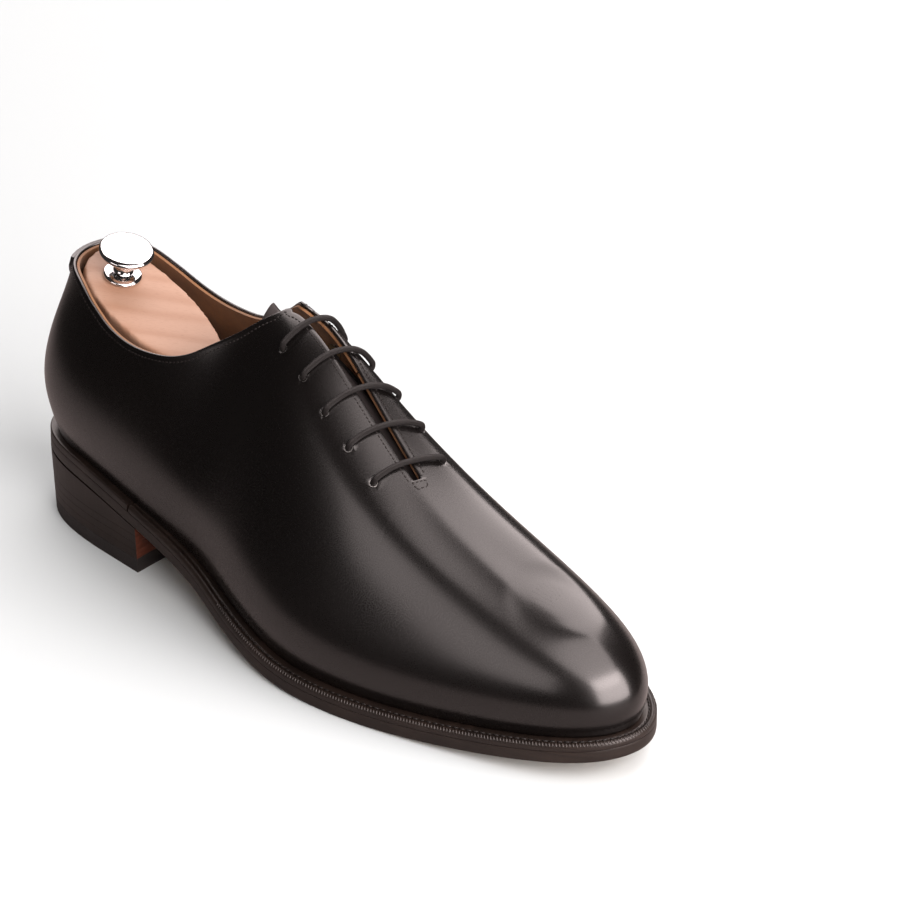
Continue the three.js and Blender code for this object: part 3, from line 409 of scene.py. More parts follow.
def tube(name, line, radius, sides, material, body="shoe"):
    """A round tube along a line, its ends closed. UV map: u in millimetres along it, v once round it."""
    line = np.asarray(line, float)
    ahead = np.gradient(line, axis=0)
    ahead /= np.linalg.norm(ahead, axis=1, keepdims=True)
    side = np.cross(ahead[0], [0, 0, 1.0])
    bm = bmesh.new()
    uv = bm.loops.layers.uv.new("UVMap")
    run = np.concatenate([[0], np.cumsum(np.linalg.norm(np.diff(line, axis=0), axis=1))])
    rings = []
    for p, d in zip(line, ahead):
        side = side - d * (side @ d)
        side /= np.linalg.norm(side)
        other = np.cross(d, side)
        angles = np.arange(sides) * 2 * math.pi / sides
        ring = p + radius * (np.cos(angles)[:, None] * side + np.sin(angles)[:, None] * other)
        rings.append([bm.verts.new(q) for q in metres(ring)])
    for k in range(len(rings) - 1):
        for j in range(sides):
            n = (j + 1) % sides
            face = bm.faces.new([rings[k][j], rings[k + 1][j], rings[k + 1][n], rings[k][n]])
            places = [(run[k], j), (run[k + 1], j), (run[k + 1], j + 1), (run[k], j + 1)]
            for loop, (u, w) in zip(face.loops, places):
                loop[uv].uv = (u, w / sides)
    bm.faces.new(rings[0])
    bm.faces.new(rings[-1][::-1])
    return finish_mesh(name, bm, material, 60, body)


# ---------------------------------------------------------------- shader maths

class Value:
    """A number in a shader. Arithmetic on it adds the Math nodes."""

    def __init__(self, net, socket):
        self.net, self.socket = net, socket

    def _math(self, operation, *values):
        return Value(self.net, self.net.add("ShaderNodeMath", {"operation": operation}, *values).outputs[0])

    def __add__(self, other):
        return self._math("ADD", self, other)

    def __radd__(self, other):
        return self._math("ADD", other, self)

    def __sub__(self, other):
        return self._math("SUBTRACT", self, other)

    def __mul__(self, other):
        return self._math("MULTIPLY", self, other)

    def __rmul__(self, other):
        return self._math("MULTIPLY", other, self)

    def __pow__(self, other):
        return self._math("POWER", self, other)

    def __neg__(self):
        return self._math("MULTIPLY", self, -1)

    def wave(self):
        return self._math("SINE", self)

    def absolute(self):
        return self._math("ABSOLUTE", self)

    def above(self, edge, soft):
        """0 under the edge and 1 past it, over a soft width."""
        settings = {"interpolation_type": "SMOOTHSTEP"}
        node = self.net.add("ShaderNodeMapRange", settings, self, edge - soft, edge + soft)
        return Value(self.net, node.outputs[0])


class Finish:
    """Builds one material's nodes."""

    def __init__(self, name, base_colour, roughness, **constants):
        self.material = bpy.data.materials.new(name + "_finish")
        self.material.use_nodes = True
        self.tree = self.material.node_tree
        self.tree.nodes.clear()
        self.shader = self.add("ShaderNodeBsdfPrincipled", {})
        self.add("ShaderNodeOutputMaterial", {}, self.shader.outputs[0])
        self.set("Base Color", (*base_colour, 1))
        self.set("Roughness", roughness)
        for socket, value in constants.items():
            self.set(socket.replace("_", " "), value)
        self.material.diffuse_color = (*base_colour, 1)
        self._object = None

    def add(self, kind, settings, *inputs, **named):
        """Adds a node: its settings first, then values or links for its sockets."""
        node = self.tree.nodes.new(kind)
        for key, value in settings.items():
            setattr(node, key, value)
        for socket, value in [*enumerate(inputs), *named.items()]:
            key = socket.replace("_", " ") if isinstance(socket, str) else socket
            self.feed(node.inputs[key], value)
        return node

    def feed(self, socket, value):
        if isinstance(value, Value):
            value = value.socket
        if isinstance(value, bpy.types.NodeSocket):
            self.tree.links.new(value, socket)
        elif value is not None:
            socket.default_value = value

    def set(self, socket, value):
        self.feed(self.shader.inputs[socket], value)

    def place(self, scale=(1, 1, 1), turn=(0, 0, 0)):
        """Object coordinates in metres, turned and then stretched."""
        if self._object is None:
            self._object = self.add("ShaderNodeTexCoord", {}).outputs["Object"]
        turned_by = self.add("ShaderNodeMapping", {}, self._object, Rotation=turn)
        return self.add("ShaderNodeMapping", {}, turned_by.outputs[0], Scale=scale).outputs[0]

    def axis(self, letter, vector=None):
        split = self.add("ShaderNodeSeparateXYZ", {}, self.place() if vector is None else vector)
        return Value(self, split.outputs["XYZ".index(letter)])

    def noise(self, vector, scale, detail=2.0, roughness=0.5, distortion=0.0):
        node = self.add("ShaderNodeTexNoise", {}, vector, Scale=scale, Detail=detail,
                        Roughness=roughness, Distortion=distortion)
        return Value(self, node.outputs[0])

    def cells(self, vector, scale):
        node = self.add("ShaderNodeTexVoronoi", {}, vector, Scale=scale)
        return Value(self, node.outputs["Distance"])

    def ramp(self, value, low, high):
        """Carries a value from 0..1 to low..high, held inside them."""
        node = self.add("ShaderNodeMapRange", {}, value, 0.0, 1.0, low, high)
        return Value(self, node.outputs[0])

    def tint(self, mask, first, second):
        """One colour where the mask is 0, the other where it is 1. Either may be a link."""
        node = self.add("ShaderNodeMix", {"data_type": "RGBA"})
        for socket, value in ((0, mask), (6, first), (7, second)):
            self.feed(node.inputs[socket], (*value, 1) if isinstance(value, (tuple, list)) else value)
        return node.outputs[2]

    def bump(self, height, strength, distance=0.0001):
        node = self.add("ShaderNodeBump", {}, strength, distance, Height=height)
        self.set("Normal", node.outputs[0])


def finish_calf(name="black_calf", colour=None, roughness=None):
    """Polished black calf: close hair-cell grain, softly uneven gloss, a brown cast where the wax is thin."""
    looks = bpy.context.scene.oxford_finishes
    colour = tuple(colour or looks.calf)
    rough = roughness or looks.calf_roughness
    made = Finish(name, colour, rough, Coat_Weight=0.8, Coat_Roughness=0.2, Specular_IOR_Level=0.5)
    p = made.place()
    cloud = made.noise(p, 22.0, 3.0)
    grain = made.cells(p, 1500.0)
    pores = made.noise(p, 2600.0, 1.0)
    made.set("Base Color", made.tint(cloud, colour, tuple(1.9 * c for c in colour)))
    made.set("Roughness", rough + (cloud - 0.5) * 0.1 + (pores - 0.5) * 0.1)
    made.bump(grain * 0.6 + pores * 0.5 + made.noise(p, 260.0, 2.0) * 0.6, 0.16, 0.00006)
    return made.material


def finish_lining():
    """Vegetable-tanned tan calf, matt, mottled, a little rubbed."""
    colour = tuple(bpy.context.scene.oxford_finishes.lining)
    made = Finish("tan_lining", colour, 0.62, Sheen_Weight=0.1)
    p = made.place()
    mottle = made.noise(p, 60.0, 4.0)
    rubbed = made.noise(p, 420.0, 3.0)
    dark = tuple(0.5 * c for c in colour)
    light = tuple(1.25 * c for c in colour)
    made.set("Base Color", made.tint(mottle * 0.7 + rubbed * 0.5 - 0.1, dark, light))
    made.set("Roughness", made.ramp(rubbed, 0.5, 0.8))
    made.bump(made.cells(p, 1100.0) + rubbed, 0.4, 0.00012)
    return made.material


def finish_edge(name="dressed_edge", colour=None):
    """Black inked and waxed leather edge: layers run along it, with fine trimming marks."""
    colour = tuple(colour or bpy.context.scene.oxford_finishes.edge)
    made = Finish(name, colour, 0.36, Specular_IOR_Level=0.55)
    layers = made.noise(made.place((25, 25, 2200)), 1.0, 3.0)
    marks = made.noise(made.place((900, 900, 60)), 1.0, 2.0)
    wear = made.noise(made.place(), 70.0, 4.0)
    made.set("Base Color", made.tint(wear * layers * 1.4, colour, (0.03, 0.019, 0.014)))
    made.set("Roughness", 0.27 + layers * 0.12 + marks * 0.1)
    made.bump(layers * 0.7 + marks * 0.5 + wear * 0.6, 0.3, 0.00012)
    return made.material


def finish_sole():
    """Oak-bark sole leather: pale tan, closed grain, faint scratches."""
    colour = tuple(bpy.context.scene.oxford_finishes.sole)
    made = Finish("sole_leather", colour, 0.5)
    p = made.place()
    cloud = made.noise(p, 35.0, 4.0)
    scratch = made.noise(made.place((60, 900, 200), (0, 0, 0.4)), 1.0, 3.0)
    made.set("Base Color", made.tint(cloud * 0.8 + scratch * 0.3, tuple(0.62 * c for c in colour), colour))
    made.set("Roughness", made.ramp(scratch, 0.35, 0.62))
    made.bump(scratch + made.cells(p, 900.0) * 0.6, 0.3, 0.00012)
    return made.material


def finish_streaked(name, colour, roughness, stretch, detail, low, high, strength, depth, **constants):
    """One noise, stretched along the grain, gives both the colour and the relief."""
    made = Finish(name, colour, roughness, **constants)
    grain = made.noise(made.place(stretch), 1.0, detail)
    made.set("Base Color", made.tint(grain, low, high))
    made.bump(grain, strength, depth)
    return made.material


def finish_breast():
    """The front face of the heel: reddish brown, its lifts still to be told apart."""
    return finish_streaked("heel_breast", (0.075, 0.022, 0.012), 0.42, (40, 40, 900), 3.0,
                           (0.05, 0.014, 0.008), (0.13, 0.04, 0.022), 0.4, 0.00015)


def finish_rubber():
    """Black heel rubber, faintly speckled and dull."""
    made = Finish("heel_rubber", (0.014, 0.013, 0.013), 0.5)
    p = made.place()
    speck = made.noise(p, 1300.0, 2.0)
    made.set("Base Color", made.tint(made.noise(p, 90.0, 3.0), (0.010, 0.009, 0.009), (0.028, 0.025, 0.024)))
    made.set("Roughness", made.ramp(speck, 0.4, 0.62))
    made.bump(speck, 0.3, 0.0001)
    return made.material


def finish_board():
    """Grey-brown leatherboard of stiffeners and rib."""
    return finish_streaked("fibre_board", (0.33, 0.23, 0.15), 0.85, (300, 1500, 1500), 4.0,
                           (0.22, 0.15, 0.09), (0.42, 0.3, 0.2), 0.5, 0.0002)


def finish_cork():
    """Granulated cork filler."""
    made = Finish("cork", (0.42, 0.27, 0.14), 0.9)
    p = made.place()
    grains = made.cells(p, 420.0)
    dark = made.noise(p, 700.0, 2.0)
    made.set("Base Color", made.tint(grains * 1.2 + dark * 0.3, (0.5, 0.34, 0.19), (0.16, 0.08, 0.04)))
    made.bump(-grains, 0.6, 0.0003)
    return made.material


def finish_beech():
    """Fine-sanded beech: pale pinkish tan, soft growth lines and short fine flecks."""
    colour = tuple(bpy.context.scene.oxford_finishes.beech)
    made = Finish("beech", colour, 0.48)
    # growth lines cross the block on the skew
    along = made.place((9, 60, 26), (0, 0, -0.78))
    drift = made.noise(along, 1.0, 3.0)
    level = made.axis("Y", made.place((1, 1, 1), (0, 0.1, -0.78)))
    rings = ((level * 620 + drift * 7.5).wave() * 0.5 + 0.5) ** 1.6
    flecks = made.noise(made.place((260, 3200, 2600), (0, 0, -0.78)), 1.0, 2.0)
    pale = tuple(min(1.1 * c, 1) for c in colour)
    line = tuple(c * k for c, k in zip(colour, (0.86, 0.74, 0.64)))
    body = made.tint(rings * 0.55 + drift * 0.25, pale, line)
    made.set("Base Color", made.tint(flecks.above(0.62, 0.08) * 0.22, body, tuple(0.6 * c for c in line)))
    made.set("Roughness", made.ramp(flecks, 0.42, 0.58))
    made.bump(flecks + rings * 0.3, 0.12, 0.0001)
    return made.material


def finish_metal(name, colour, roughness, streak=(900, 40, 40), depth=0.05):
    """Metal with fine tool marks and slightly uneven polish."""
    made = Finish(name, colour, roughness, Metallic=1.0)
    marks = made.noise(made.place(streak), 1.0, 3.0)
    smudge = made.noise(made.place(), 120.0, 3.0)
    made.set("Base Color", made.tint(smudge, tuple(0.93 * c for c in colour), colour))
    made.set("Roughness", roughness * (0.75 + smudge * 0.5))
    made.bump(marks, depth, 0.00005)
    return made.material


def finish_lace():
    """Round waxed cotton: two sets of strands cross round the cord."""
    made = Finish("waxed_cotton", (0.006, 0.0052, 0.005), 0.42, Specular_IOR_Level=0.28)
    uv = made.add("ShaderNodeUVMap", {"uv_map": "UVMap"}).outputs[0]
    run, round_ = made.axis("X", uv), made.axis("Y", uv)
    strands = 8
    turns = round_ * (2 * math.pi * strands)
    braid = ((run * 3.4 + turns).wave() * (run * 3.4 - turns).wave()).absolute()
    fuzz = made.noise(made.place(), 2500.0, 2.0)
    made.set("Base Color", made.tint(braid * 0.7 + fuzz * 0.3, (0.003, 0.0026, 0.0025),
                                     (0.016, 0.0135, 0.013)))
    made.set("Roughness", 0.3 + fuzz * 0.3)
    made.bump(braid + fuzz * 0.3, 0.7, 0.00022)
    return made.material


def finish_thread():
    """Waxed black linen thread."""
    made = Finish("waxed_thread", (0.006, 0.005, 0.005), 0.45, Specular_IOR_Level=0.3)
    twist = made.noise(made.place(), 3000.0, 2.0)
    made.set("Base Color", made.tint(twist, (0.004, 0.0035, 0.003), (0.02, 0.016, 0.015)))
    made.bump(twist, 0.4, 0.0001)
    return made.material


def finish_floor():
    """The studio's paper sweep. Mirrored in the leather it is darker, and ends near the shoe."""
    white = (0.6, 0.68, 0.695)
    made = Finish("paper_sweep", white, 0.9, Specular_IOR_Level=0.1)
    made.set("Roughness", made.ramp(made.noise(made.place(), 40.0, 2.0), 0.85, 0.95))
    x, y = made.axis("X"), made.axis("Y")
    away = (x * x) * 9.5 + (y * y) * 38.0
    mirrored = Value(made, made.add("ShaderNodeLightPath", {}).outputs["Is Glossy Ray"])
    dim = mirrored * away.above(1.3, 0.9)
    near = made.tint(mirrored, white, (0.22, 0.2, 0.195))
    made.set("Base Color", made.tint(dim, near, (0.012, 0.011, 0.01)))
    return made.material


MAKERS = {
    "black_calf": finish_calf,
    "tan_lining": finish_lining,
    "dressed_edge": finish_edge,
    "sole_leather": finish_sole,
    "heel_breast": finish_breast,
    "heel_rubber": finish_rubber,
    "fibre_board": finish_board,
    "cork": finish_cork,
    "beech": finish_beech,
    "waxed_cotton": finish_lace,
    "waxed_thread": finish_thread,
    "paper_sweep": finish_floor,
    "brass": lambda: finish_metal("brass", (0.62, 0.45, 0.2), 0.3),
    "steel": lambda: finish_metal("steel", (0.5, 0.5, 0.49), 0.34),
    "chrome": lambda: finish_metal("chrome", (0.86, 0.86, 0.87), 0.07, (60, 60, 60), 0.02),
}


def finish(name):
    """The named material, made when it is first wanted."""
    title = name + "_finish"
    return bpy.data.materials.get(title) or MAKERS[name]()


# ---------------------------------------------------------------- what repeats along a line

def run_tree(name, defaults):
    """Node tree that sets small bumps, such as stitches, along lines whose points know which way is out."""
    tree = bpy.data.node_groups.new(name, "GeometryNodeTree")
    tree.is_modifier = True
    face = tree.interface
    face.new_socket(name="Geometry", in_out="INPUT", socket_type="NodeSocketGeometry")
    for label, value in defaults.items():
        kind = "NodeSocketInt" if label == "Seed" else "NodeSocketFloat"
        face.new_socket(name=label, in_out="INPUT", socket_type=kind).default_value = value
    face.new_socket(name="Material", in_out="INPUT", socket_type="NodeSocketMaterial")
    face.new_socket(name="Geometry", in_out="OUTPUT", socket_type="NodeSocketGeometry")

    def node(kind, sockets=None, **settings):
        """Adds a node: links go in by output socket, anything else is a constant."""
        made = tree.nodes.new(kind)
        for key, value in settings.items():
            setattr(made, key, value)
        for socket, value in (sockets or {}).items():
            if isinstance(value, bpy.types.NodeSocket):
                tree.links.new(value, made.inputs[socket])
            else:
                made.inputs[socket].default_value = value
        return made

    given = node("NodeGroupInput").outputs
    curve = node("GeometryNodeMeshToCurve", {0: given["Geometry"]})
    spaced = node("GeometryNodeResampleCurve", mode="LENGTH")
    tree.links.new(curve.outputs[0], spaced.inputs["Curve"])
    tree.links.new(given["Pitch"], spaced.inputs["Length"])
    out = node("GeometryNodeInputNamedAttribute", {"Name": "out"}, data_type="FLOAT_VECTOR")
    tangent = node("GeometryNodeInputTangent")
    turn = node("FunctionNodeAxesToRotation", {"Primary Axis": out.outputs["Attribute"],
                                               "Secondary Axis": tangent.outputs[0]},
                primary_axis="Z", secondary_axis="X")
    bump = node("GeometryNodeMeshUVSphere", {"Segments": 8, "Rings": 5, "Radius": 0.5})
    size = node("ShaderNodeCombineXYZ", {"X": given["Length"], "Y": given["Width"], "Z": given["Height"]})
    loose = node("FunctionNodeRandomValue", {2: 0.88, 3: 1.12, "Seed": given["Seed"]}, data_type="FLOAT")
    scaled = node("ShaderNodeVectorMath", {0: size.outputs[0], "Scale": loose.outputs[1]}, operation="SCALE")
    copies = node("GeometryNodeInstanceOnPoints",
                  {"Points": spaced.outputs[0], "Instance": bump.outputs["Mesh"],
                   "Rotation": turn.outputs[0], "Scale": scaled.outputs[0]})
    slant = node("ShaderNodeCombineXYZ", {"Z": given["Slant"]})
    skew = node("GeometryNodeRotateInstances", {"Instances": copies.outputs[0], "Rotation": slant.outputs[0]})
    real = node("GeometryNodeRealizeInstances", {0: skew.outputs[0]})
    soft = node("GeometryNodeSetShadeSmooth", {0: real.outputs[0]})
    painted = node("GeometryNodeSetMaterial", {"Geometry": soft.outputs[0], "Material": given["Material"]})
    node("NodeGroupOutput", {0: painted.outputs[0]})
    return tree


def line_mesh(name, lines):
    """Loose polylines with an outward direction on each point. lines holds (points in mm, outward)."""
    verts, outs, edges = [], [], []
    for points, directions in lines:
        start = len(verts)
        verts += [tuple(p) for p in metres(points)]
        outs += [tuple(o) for o in directions]
        edges += [(start + k, start + k + 1) for k in range(len(points) - 1)]
    mesh = bpy.data.meshes.new(name)
    mesh.from_pydata(verts, edges, [])
    attribute = mesh.attributes.new("out", "FLOAT_VECTOR", "POINT")
    attribute.data.foreach_set("vector", np.array(outs, np.float32).ravel())
    return mesh


def bake(name, source, tree, values, body="shoe"):
    """Runs the tree on the source mesh and keeps the result as a plain mesh."""
    maker = bpy.data.objects.new(name + "_line", source)
    bpy.context.scene.collection.objects.link(maker)
    modifier = maker.modifiers.new("nodes", "NODES")
    modifier.node_group = tree
    for item in tree.interface.items_tree:
        if item.item_type == "SOCKET" and item.in_out == "INPUT" and item.name in values:
            modifier[item.identifier] = values[item.name]
    bpy.context.view_layer.update()
    evaluated = maker.evaluated_get(bpy.context.evaluated_depsgraph_get())
    mesh = bpy.data.meshes.new_from_object(evaluated)
    mesh.name = name
    maker.modifiers.remove(modifier)
    bpy.data.objects.remove(maker)
    if len(mesh.polygons) == 0:
        raise RuntimeError(f"{name}: the tree made nothing")
    return add_piece(name, mesh, None, body)


# ---------------------------------------------------------------- upper

def from_heel(t):
    t = np.asarray(t, float) % ROUND
    return np.minimum(t, ROUND - t)


def outward(t):
    ahead = surface(np.asarray(t) + 0.02, 0) - surface(np.asarray(t) - 0.02, 0)
    out = np.stack([ahead[..., 1], -ahead[..., 0], np.zeros_like(ahead[..., 0])], -1)
    return out / np.linalg.norm(out, axis=-1, keepdims=True)


def edge_point(t, out, level):
    """Feather line moved outwards in plan, lying on the given level above the outsole's underside."""
    t = np.asarray(t, float)
    p = surface(t, 0) + outward(t) * np.broadcast_to(out, t.shape)[..., None]
    p[..., 2] = sole_z(p[..., 0]) + level
    return p


def sole_edge(t):
    return EDGE_HEEL + (EDGE_FORE - EDGE_HEEL) * ease(3, 6, from_heel(t))


def columns():
    """Ribs of the upper round the foot, closer where the trimmed edge turns."""
    side = set(np.round(np.arange(0, TOE + 0.01, 1 / 16), 5))
    side |= set(np.round(np.arange(4, 6.2, 1 / 32), 5))
    side |= {round(SLIT_FOOT_T + d, 5) for d in (-0.05, -0.025, -0.008, 0.004, 0.02, 0.05)}
    side = sorted(side)
    return np.array(side + [ROUND - t for t in side[-2:0:-1]])


def up_the_rib(t, top):
    step = 0.03
    d = surface(t, top) - surface(t, top - step)
    return d / np.linalg.norm(d, axis=-1, keepdims=True), np.linalg.norm(d, axis=-1) / step


def upper_grids(ts):
    """Both faces of the upper's leather, meeting in a folded round edge."""
    tops = top_of(ts)
    closed = tops >= CREST
    up, _ = up_the_rib(ts, tops)
    outer = [edge_point(ts, -MARGIN, FEATHER_LIFT)]
    rise = np.linspace(0, 1, 47)
    outer += [skin(ts, np.where(closed & (s == 1), CREST, tops * s), 0.0) for s in rise]
    inner = [edge_point(ts, -inset, FEATHER_LIFT + LEATHER) for inset in (MARGIN, LEATHER)]
    inner += [skin(ts, WALL_START + (tops - WALL_START) * s, LEATHER) for s in np.linspace(0, 1, 22)]
    r = LEATHER / 2
    back = np.where(closed, 0, r)[:, None] * up
    # The round edge stays inside the trimmed line, so the last points of both faces step back by its radius.
    outer[-1] = outer[-1] - back
    inner[-1] = inner[-1] - back
    for grid, angles in ((outer, (30, 60, 85)), (inner, (150, 120, 95))):
        for a in np.radians(angles):
            depth = np.where(closed, 0 if grid is outer else LEATHER, r * (1 - math.cos(a)))
            reach = np.where(closed, 0, r * math.sin(a))[:, None] * up
            grid.append(skin(ts, tops, depth) - back + reach)
    stack = lambda grid: np.stack(grid, 1)
    return stack(outer), stack(inner), ~closed


def eyelet_places():
    """Centre and outward direction of each eyelet, lateral row by row, then medial."""
    rows = np.arange(ROWS)
    places = []
    for side in (-1, 1):
        t, v = facing(ROW_FIRST + rows * ROW_PITCH, side * np.array(EYELET_OUT))
        places += list(zip(surface(t, v), normal(t, v)))
    return places


# radius and depth of the pressed rim and the wall of an eyelet hole
EYELET_WALL = [(2.05, 0.0), (1.85, 0.03), (1.68, 0.16), (1.6, 0.42), (1.6, 1.1), (1.8, 1.38), (2.05, LEATHER)]


def punch(bm, centre, out):
    """A clean round eyelet hole through both faces of the leather, with a pressed rim."""
    middle, out = Vector(metres(centre)), Vector(out)
    side = out.orthogonal().normalized()
    other = out.cross(side)

    def is_near(face):
        away = face.calc_center_median() - middle
        rise = away.dot(out)
        return abs(rise) < 0.004 and (away - out * rise).length < 0.0027

    bmesh.ops.delete(bm, geom=[f for f in bm.faces if is_near(f)], context="FACES")
    rim = [e for e in bm.edges if e.is_boundary and (e.verts[0].co - middle).length < 0.006]
    shallow = [e for e in rim if (e.verts[0].co - middle).dot(out) > -LEATHER / 2000]
    deep = [e for e in rim if e not in shallow]
    sides = 28
    rings = []
    angles = [2 * math.pi * k / sides for k in range(sides)]
    for radius, depth in EYELET_WALL:
        rings.append([bm.verts.new(middle + (side * math.cos(a) + other * math.sin(a)) * radius / 1000
                                   - out * depth / 1000) for a in angles])
    for a, b in zip(rings, rings[1:]):
        for k in range(sides):
            n = (k + 1) % sides
            bm.faces.new([a[k], b[k], b[n], a[n]])
    for loop, ring in ((shallow, rings[0]), (deep, rings[-1])):
        ring_edges = [e for v in ring for e in v.link_edges if e.other_vert(v) in ring]
        bmesh.ops.bridge_loops(bm, edges=list(set(loop + ring_edges)))


def ease_toe(bm):
    """Evens out the leather where all the toe's ribs meet, by laying a smooth patch over the spot."""
    pole = metres(surface(TOE, CREST)) * 1000
    verts = [v for v in bm.verts if (v.co.xy * 1000 - Vector(pole[:2])).length < 34]
    p = np.array([v.co for v in verts]) * 1000 - pole
    r = np.linalg.norm(p[:, :2], axis=1)
    outer = p[:, 2] > -0.09 * r - 0.018 * r ** 2 - 0.75
    powers = [(a, b) for a in range(5) for b in range(5 - a)]
    terms = lambda q: np.stack([q[:, 0] ** a * q[:, 1] ** b for a, b in powers], 1)
    near = outer & (r > 7) & (r < 26)
    fit = np.linalg.lstsq(terms(p[near]), p[near, 2], rcond=None)[0]
    share = 1 - ease(9, 20, r)
    smooth = terms(p) @ fit
    for k in np.where(outer & (share > 0))[0]:
        verts[k].co.z += share[k] * (smooth[k] - p[k, 2]) / 1000


def make_upper():
    outer, inner, is_open = upper_grids(columns())
    bm = shell(outer, inner, ring=True, lips=is_open)
    bmesh.ops.remove_doubles(bm, verts=bm.verts, dist=1e-6)
    bmesh.ops.dissolve_degenerate(bm, edges=bm.edges, dist=1e-7)
    ease_toe(bm)
    for centre, out in eyelet_places():
        punch(bm, centre, out)
    piece = finish_mesh("wholecut", bm, finish("black_calf"), 70)
    return stands_for(piece, "black_calf", "wholecut_upper")


def lining_depth(t, v):
    stiff = 1 - ease(3, 4, from_heel(t)) + ease(10, 11, from_heel(t))
    rise = np.where(from_heel(t) < TOE / 2, 1 - ease(2.4, 2.9, v), 1)
    return LEATHER + GAP + (STIFFENER + GAP) * stiff * rise


def make_lining(name, ts, node):
    """Part of the lining, its raw tan edge a little below the folded edge of the upper."""
    tops = top_of(ts)
    closed = tops >= CREST
    _, speed = up_the_rib(ts, tops)
    reach = np.where(closed, CREST, tops - 0.5 / speed)
    faces = []
    for extra in (0, LINING):
        level = FEATHER_LIFT + LEATHER + GAP + extra
        rows = [edge_point(ts, -MARGIN, level), edge_point(ts, -lining_depth(ts, 0) - extra, level)]
        for s in np.linspace(0, 1, 30):
            v = np.where(closed & (s == 1), CREST, WALL_START + (reach - WALL_START) * s)
            rows.append(skin(ts, v, lining_depth(ts, v) + extra))
        faces.append(np.stack(rows, 1))
    bm = shell(faces[0], faces[1], lips=~closed)
    piece = finish_mesh(name, bm, finish("tan_lining"), 45)
    return stands_for(piece, "tan_lining", node)


def make_linings():
    seam = LINING_SEAM
    quarter = np.concatenate([[-seam + 0.02], np.arange(-6.6875, 6.7, 1 / 16), [seam - 0.02]])
    make_lining("lining_quarters", quarter, "quarter_lining")
    side = sorted(set(np.round(np.arange(6.8125, TOE + 0.01, 1 / 16), 5)) |
                  {round(SLIT_FOOT_T + d, 5) for d in (-0.05, -0.01, 0.01, 0.05)} | {seam + 0.02})
    vamp = np.array(side + [ROUND - t for t in side[-2::-1]])
    make_lining("lining_vamp", vamp, "vamp_lining")


def tab_depth(t):
    return TAB_SIDE + (TAB_MIDDLE - TAB_SIDE) * np.cos(t / TAB_HALF * math.pi / 2)


def make_heel_tab():
    """The small strap over the top of the back seam, narrowing downwards to a round end."""
    ts = np.linspace(-TAB_HALF, TAB_HALF, 41)
    tops = top_of(ts)
    low = tops - tab_depth(ts)
    faces = []
    for depth in (-GAP - TAB, -0.02):
        rows = [skin(ts, low + (tops - 0.04 - low) * s, depth) for s in np.linspace(0, 1, 22)]
        faces.append(np.stack(rows, 1))
    piece = finish_mesh("back_tab", shell(*faces), finish("black_calf"), 40)
    rounded(piece, 0.0004)
    return stands_for(piece, "black_calf", "heel_tab")


LACE_UNDER = LEATHER + GAP + LINING + EYELET_SEAT + EYELET_PLATE + 2 * GAP + LACE
TONGUE_DEPTH = LACE_UNDER + LACE + 2 * GAP


def make_tongue():
    """The tongue under the facings, its round top standing out above them."""
    ahead = np.array([-8.0, -4.0])
    down = np.linspace(-8, 78, 46)
    share = np.linspace(-1, 1, 33)

    def rows(along, depth):
        half = TONGUE_HALF * (1 - 0.003 * along)
        t, v = facing(along[:, None], half[:, None] * share[None, :])
        return surface(t, v) - normal(t, v) * depth

    faces = []
    # the round top carries on past the last's own rows, and curls up a little
    reach = np.sin(np.linspace(1, 0, 14)[:-1] * math.pi / 2) * TONGUE_TOP
    for depth in (TONGUE_DEPTH, TONGUE_DEPTH + TONGUE):
        first, second = rows(ahead, depth)
        run = (first - second) / 4
        middle = len(share) // 2
        top = []
        for r in reach:
            narrow = 1 - 0.72 * (r / TONGUE_TOP) ** 4
            row = first[middle] + (first - first[middle]) * narrow + run[middle] * r
            row[:, 2] += 0.035 * r ** 2
            top.append(row)
        faces.append(np.concatenate([np.array(top), rows(down, depth)]))
    # the tongue wears a lighter copy of the black calf, its lighter colour a painted highlight
    piece = finish_mesh("tongue_leather", shell(*faces), finish("tongue_calf"), 40)
    rounded(piece, 0.0004)
    return stands_for(piece, "black_calf", "tongue")


# The tongue's calf: the black calf made about twenty times lighter as a painted highlight, and less glossy.
MAKERS["tongue_calf"] = lambda: finish_calf("tongue_calf", (0.03, 0.026, 0.026), 0.5)


# ---------------------------------------------------------------- lace

OVER = -LACE - 0.6
INTO = [[-3.4, OVER], [-1.3, OVER + 0.1], [0, -0.4], [0, 2.2], [0, 4.4]]


def tucked_end(side):
    runs = ([[0.3, 12.5], [1.2, 12.8], [2.1, 13], [3, 12.8], [3.7, 12], [4.05, 8.8], [3.6, 6.4], [2.7, 6.2],
             [1.8, 6.2], [0.9, 6.2], [0.3, 5], [0.5, 2.2], [1.5, 3.9], [2.5, 4], [3.4, 3.6]] if side < 0 else
            [[0.6, 3.6], [1.5, 4], [2.4, 4.2], [3.3, 4.4], [4.02, 6.6], [3.6, 9.6], [2.7, 10.8], [1.8, 11],
             [0.9, 10.8], [0.2, 10.4]])
    out = [EYELET_OUT[int(min(row, ROWS - 1) + 0.5)] for row, _ in runs]
    return [[row, side * (o + beyond), LACE_UNDER] for o, (row, beyond) in zip(out, runs)]


def lace_route():
    """Rows down the slit, distance across it over the leather, depth under it: five bars, ends tucked in."""
    route = tucked_end(-1)
    last = ROWS - 1
    for row in range(last, -1, -1):
        side = -1 if (last - row) % 2 == 0 else 1
        out = EYELET_OUT[row]
        shift = 1.3 / ROW_PITCH
        route.append([row - (shift if row == last else -shift), side * out, LACE_UNDER - 0.1])
        route += [[row, side * (out + short), depth] for short, depth in INTO[::-1]]
        route += [[row, side * out * share, OVER] for share in (0.5, 0.2, -0.2, -0.5)]
        route += [[row, -side * (out + short), depth] for short, depth in INTO]
        route.append([row - (-shift if row == 0 else shift), -side * out, LACE_UNDER - 0.1])
        if row > 0:
            route.append([row - 0.5, -side * (out + EYELET_OUT[row - 1]) / 2, LACE_UNDER])
    return np.array(route + tucked_end(1))


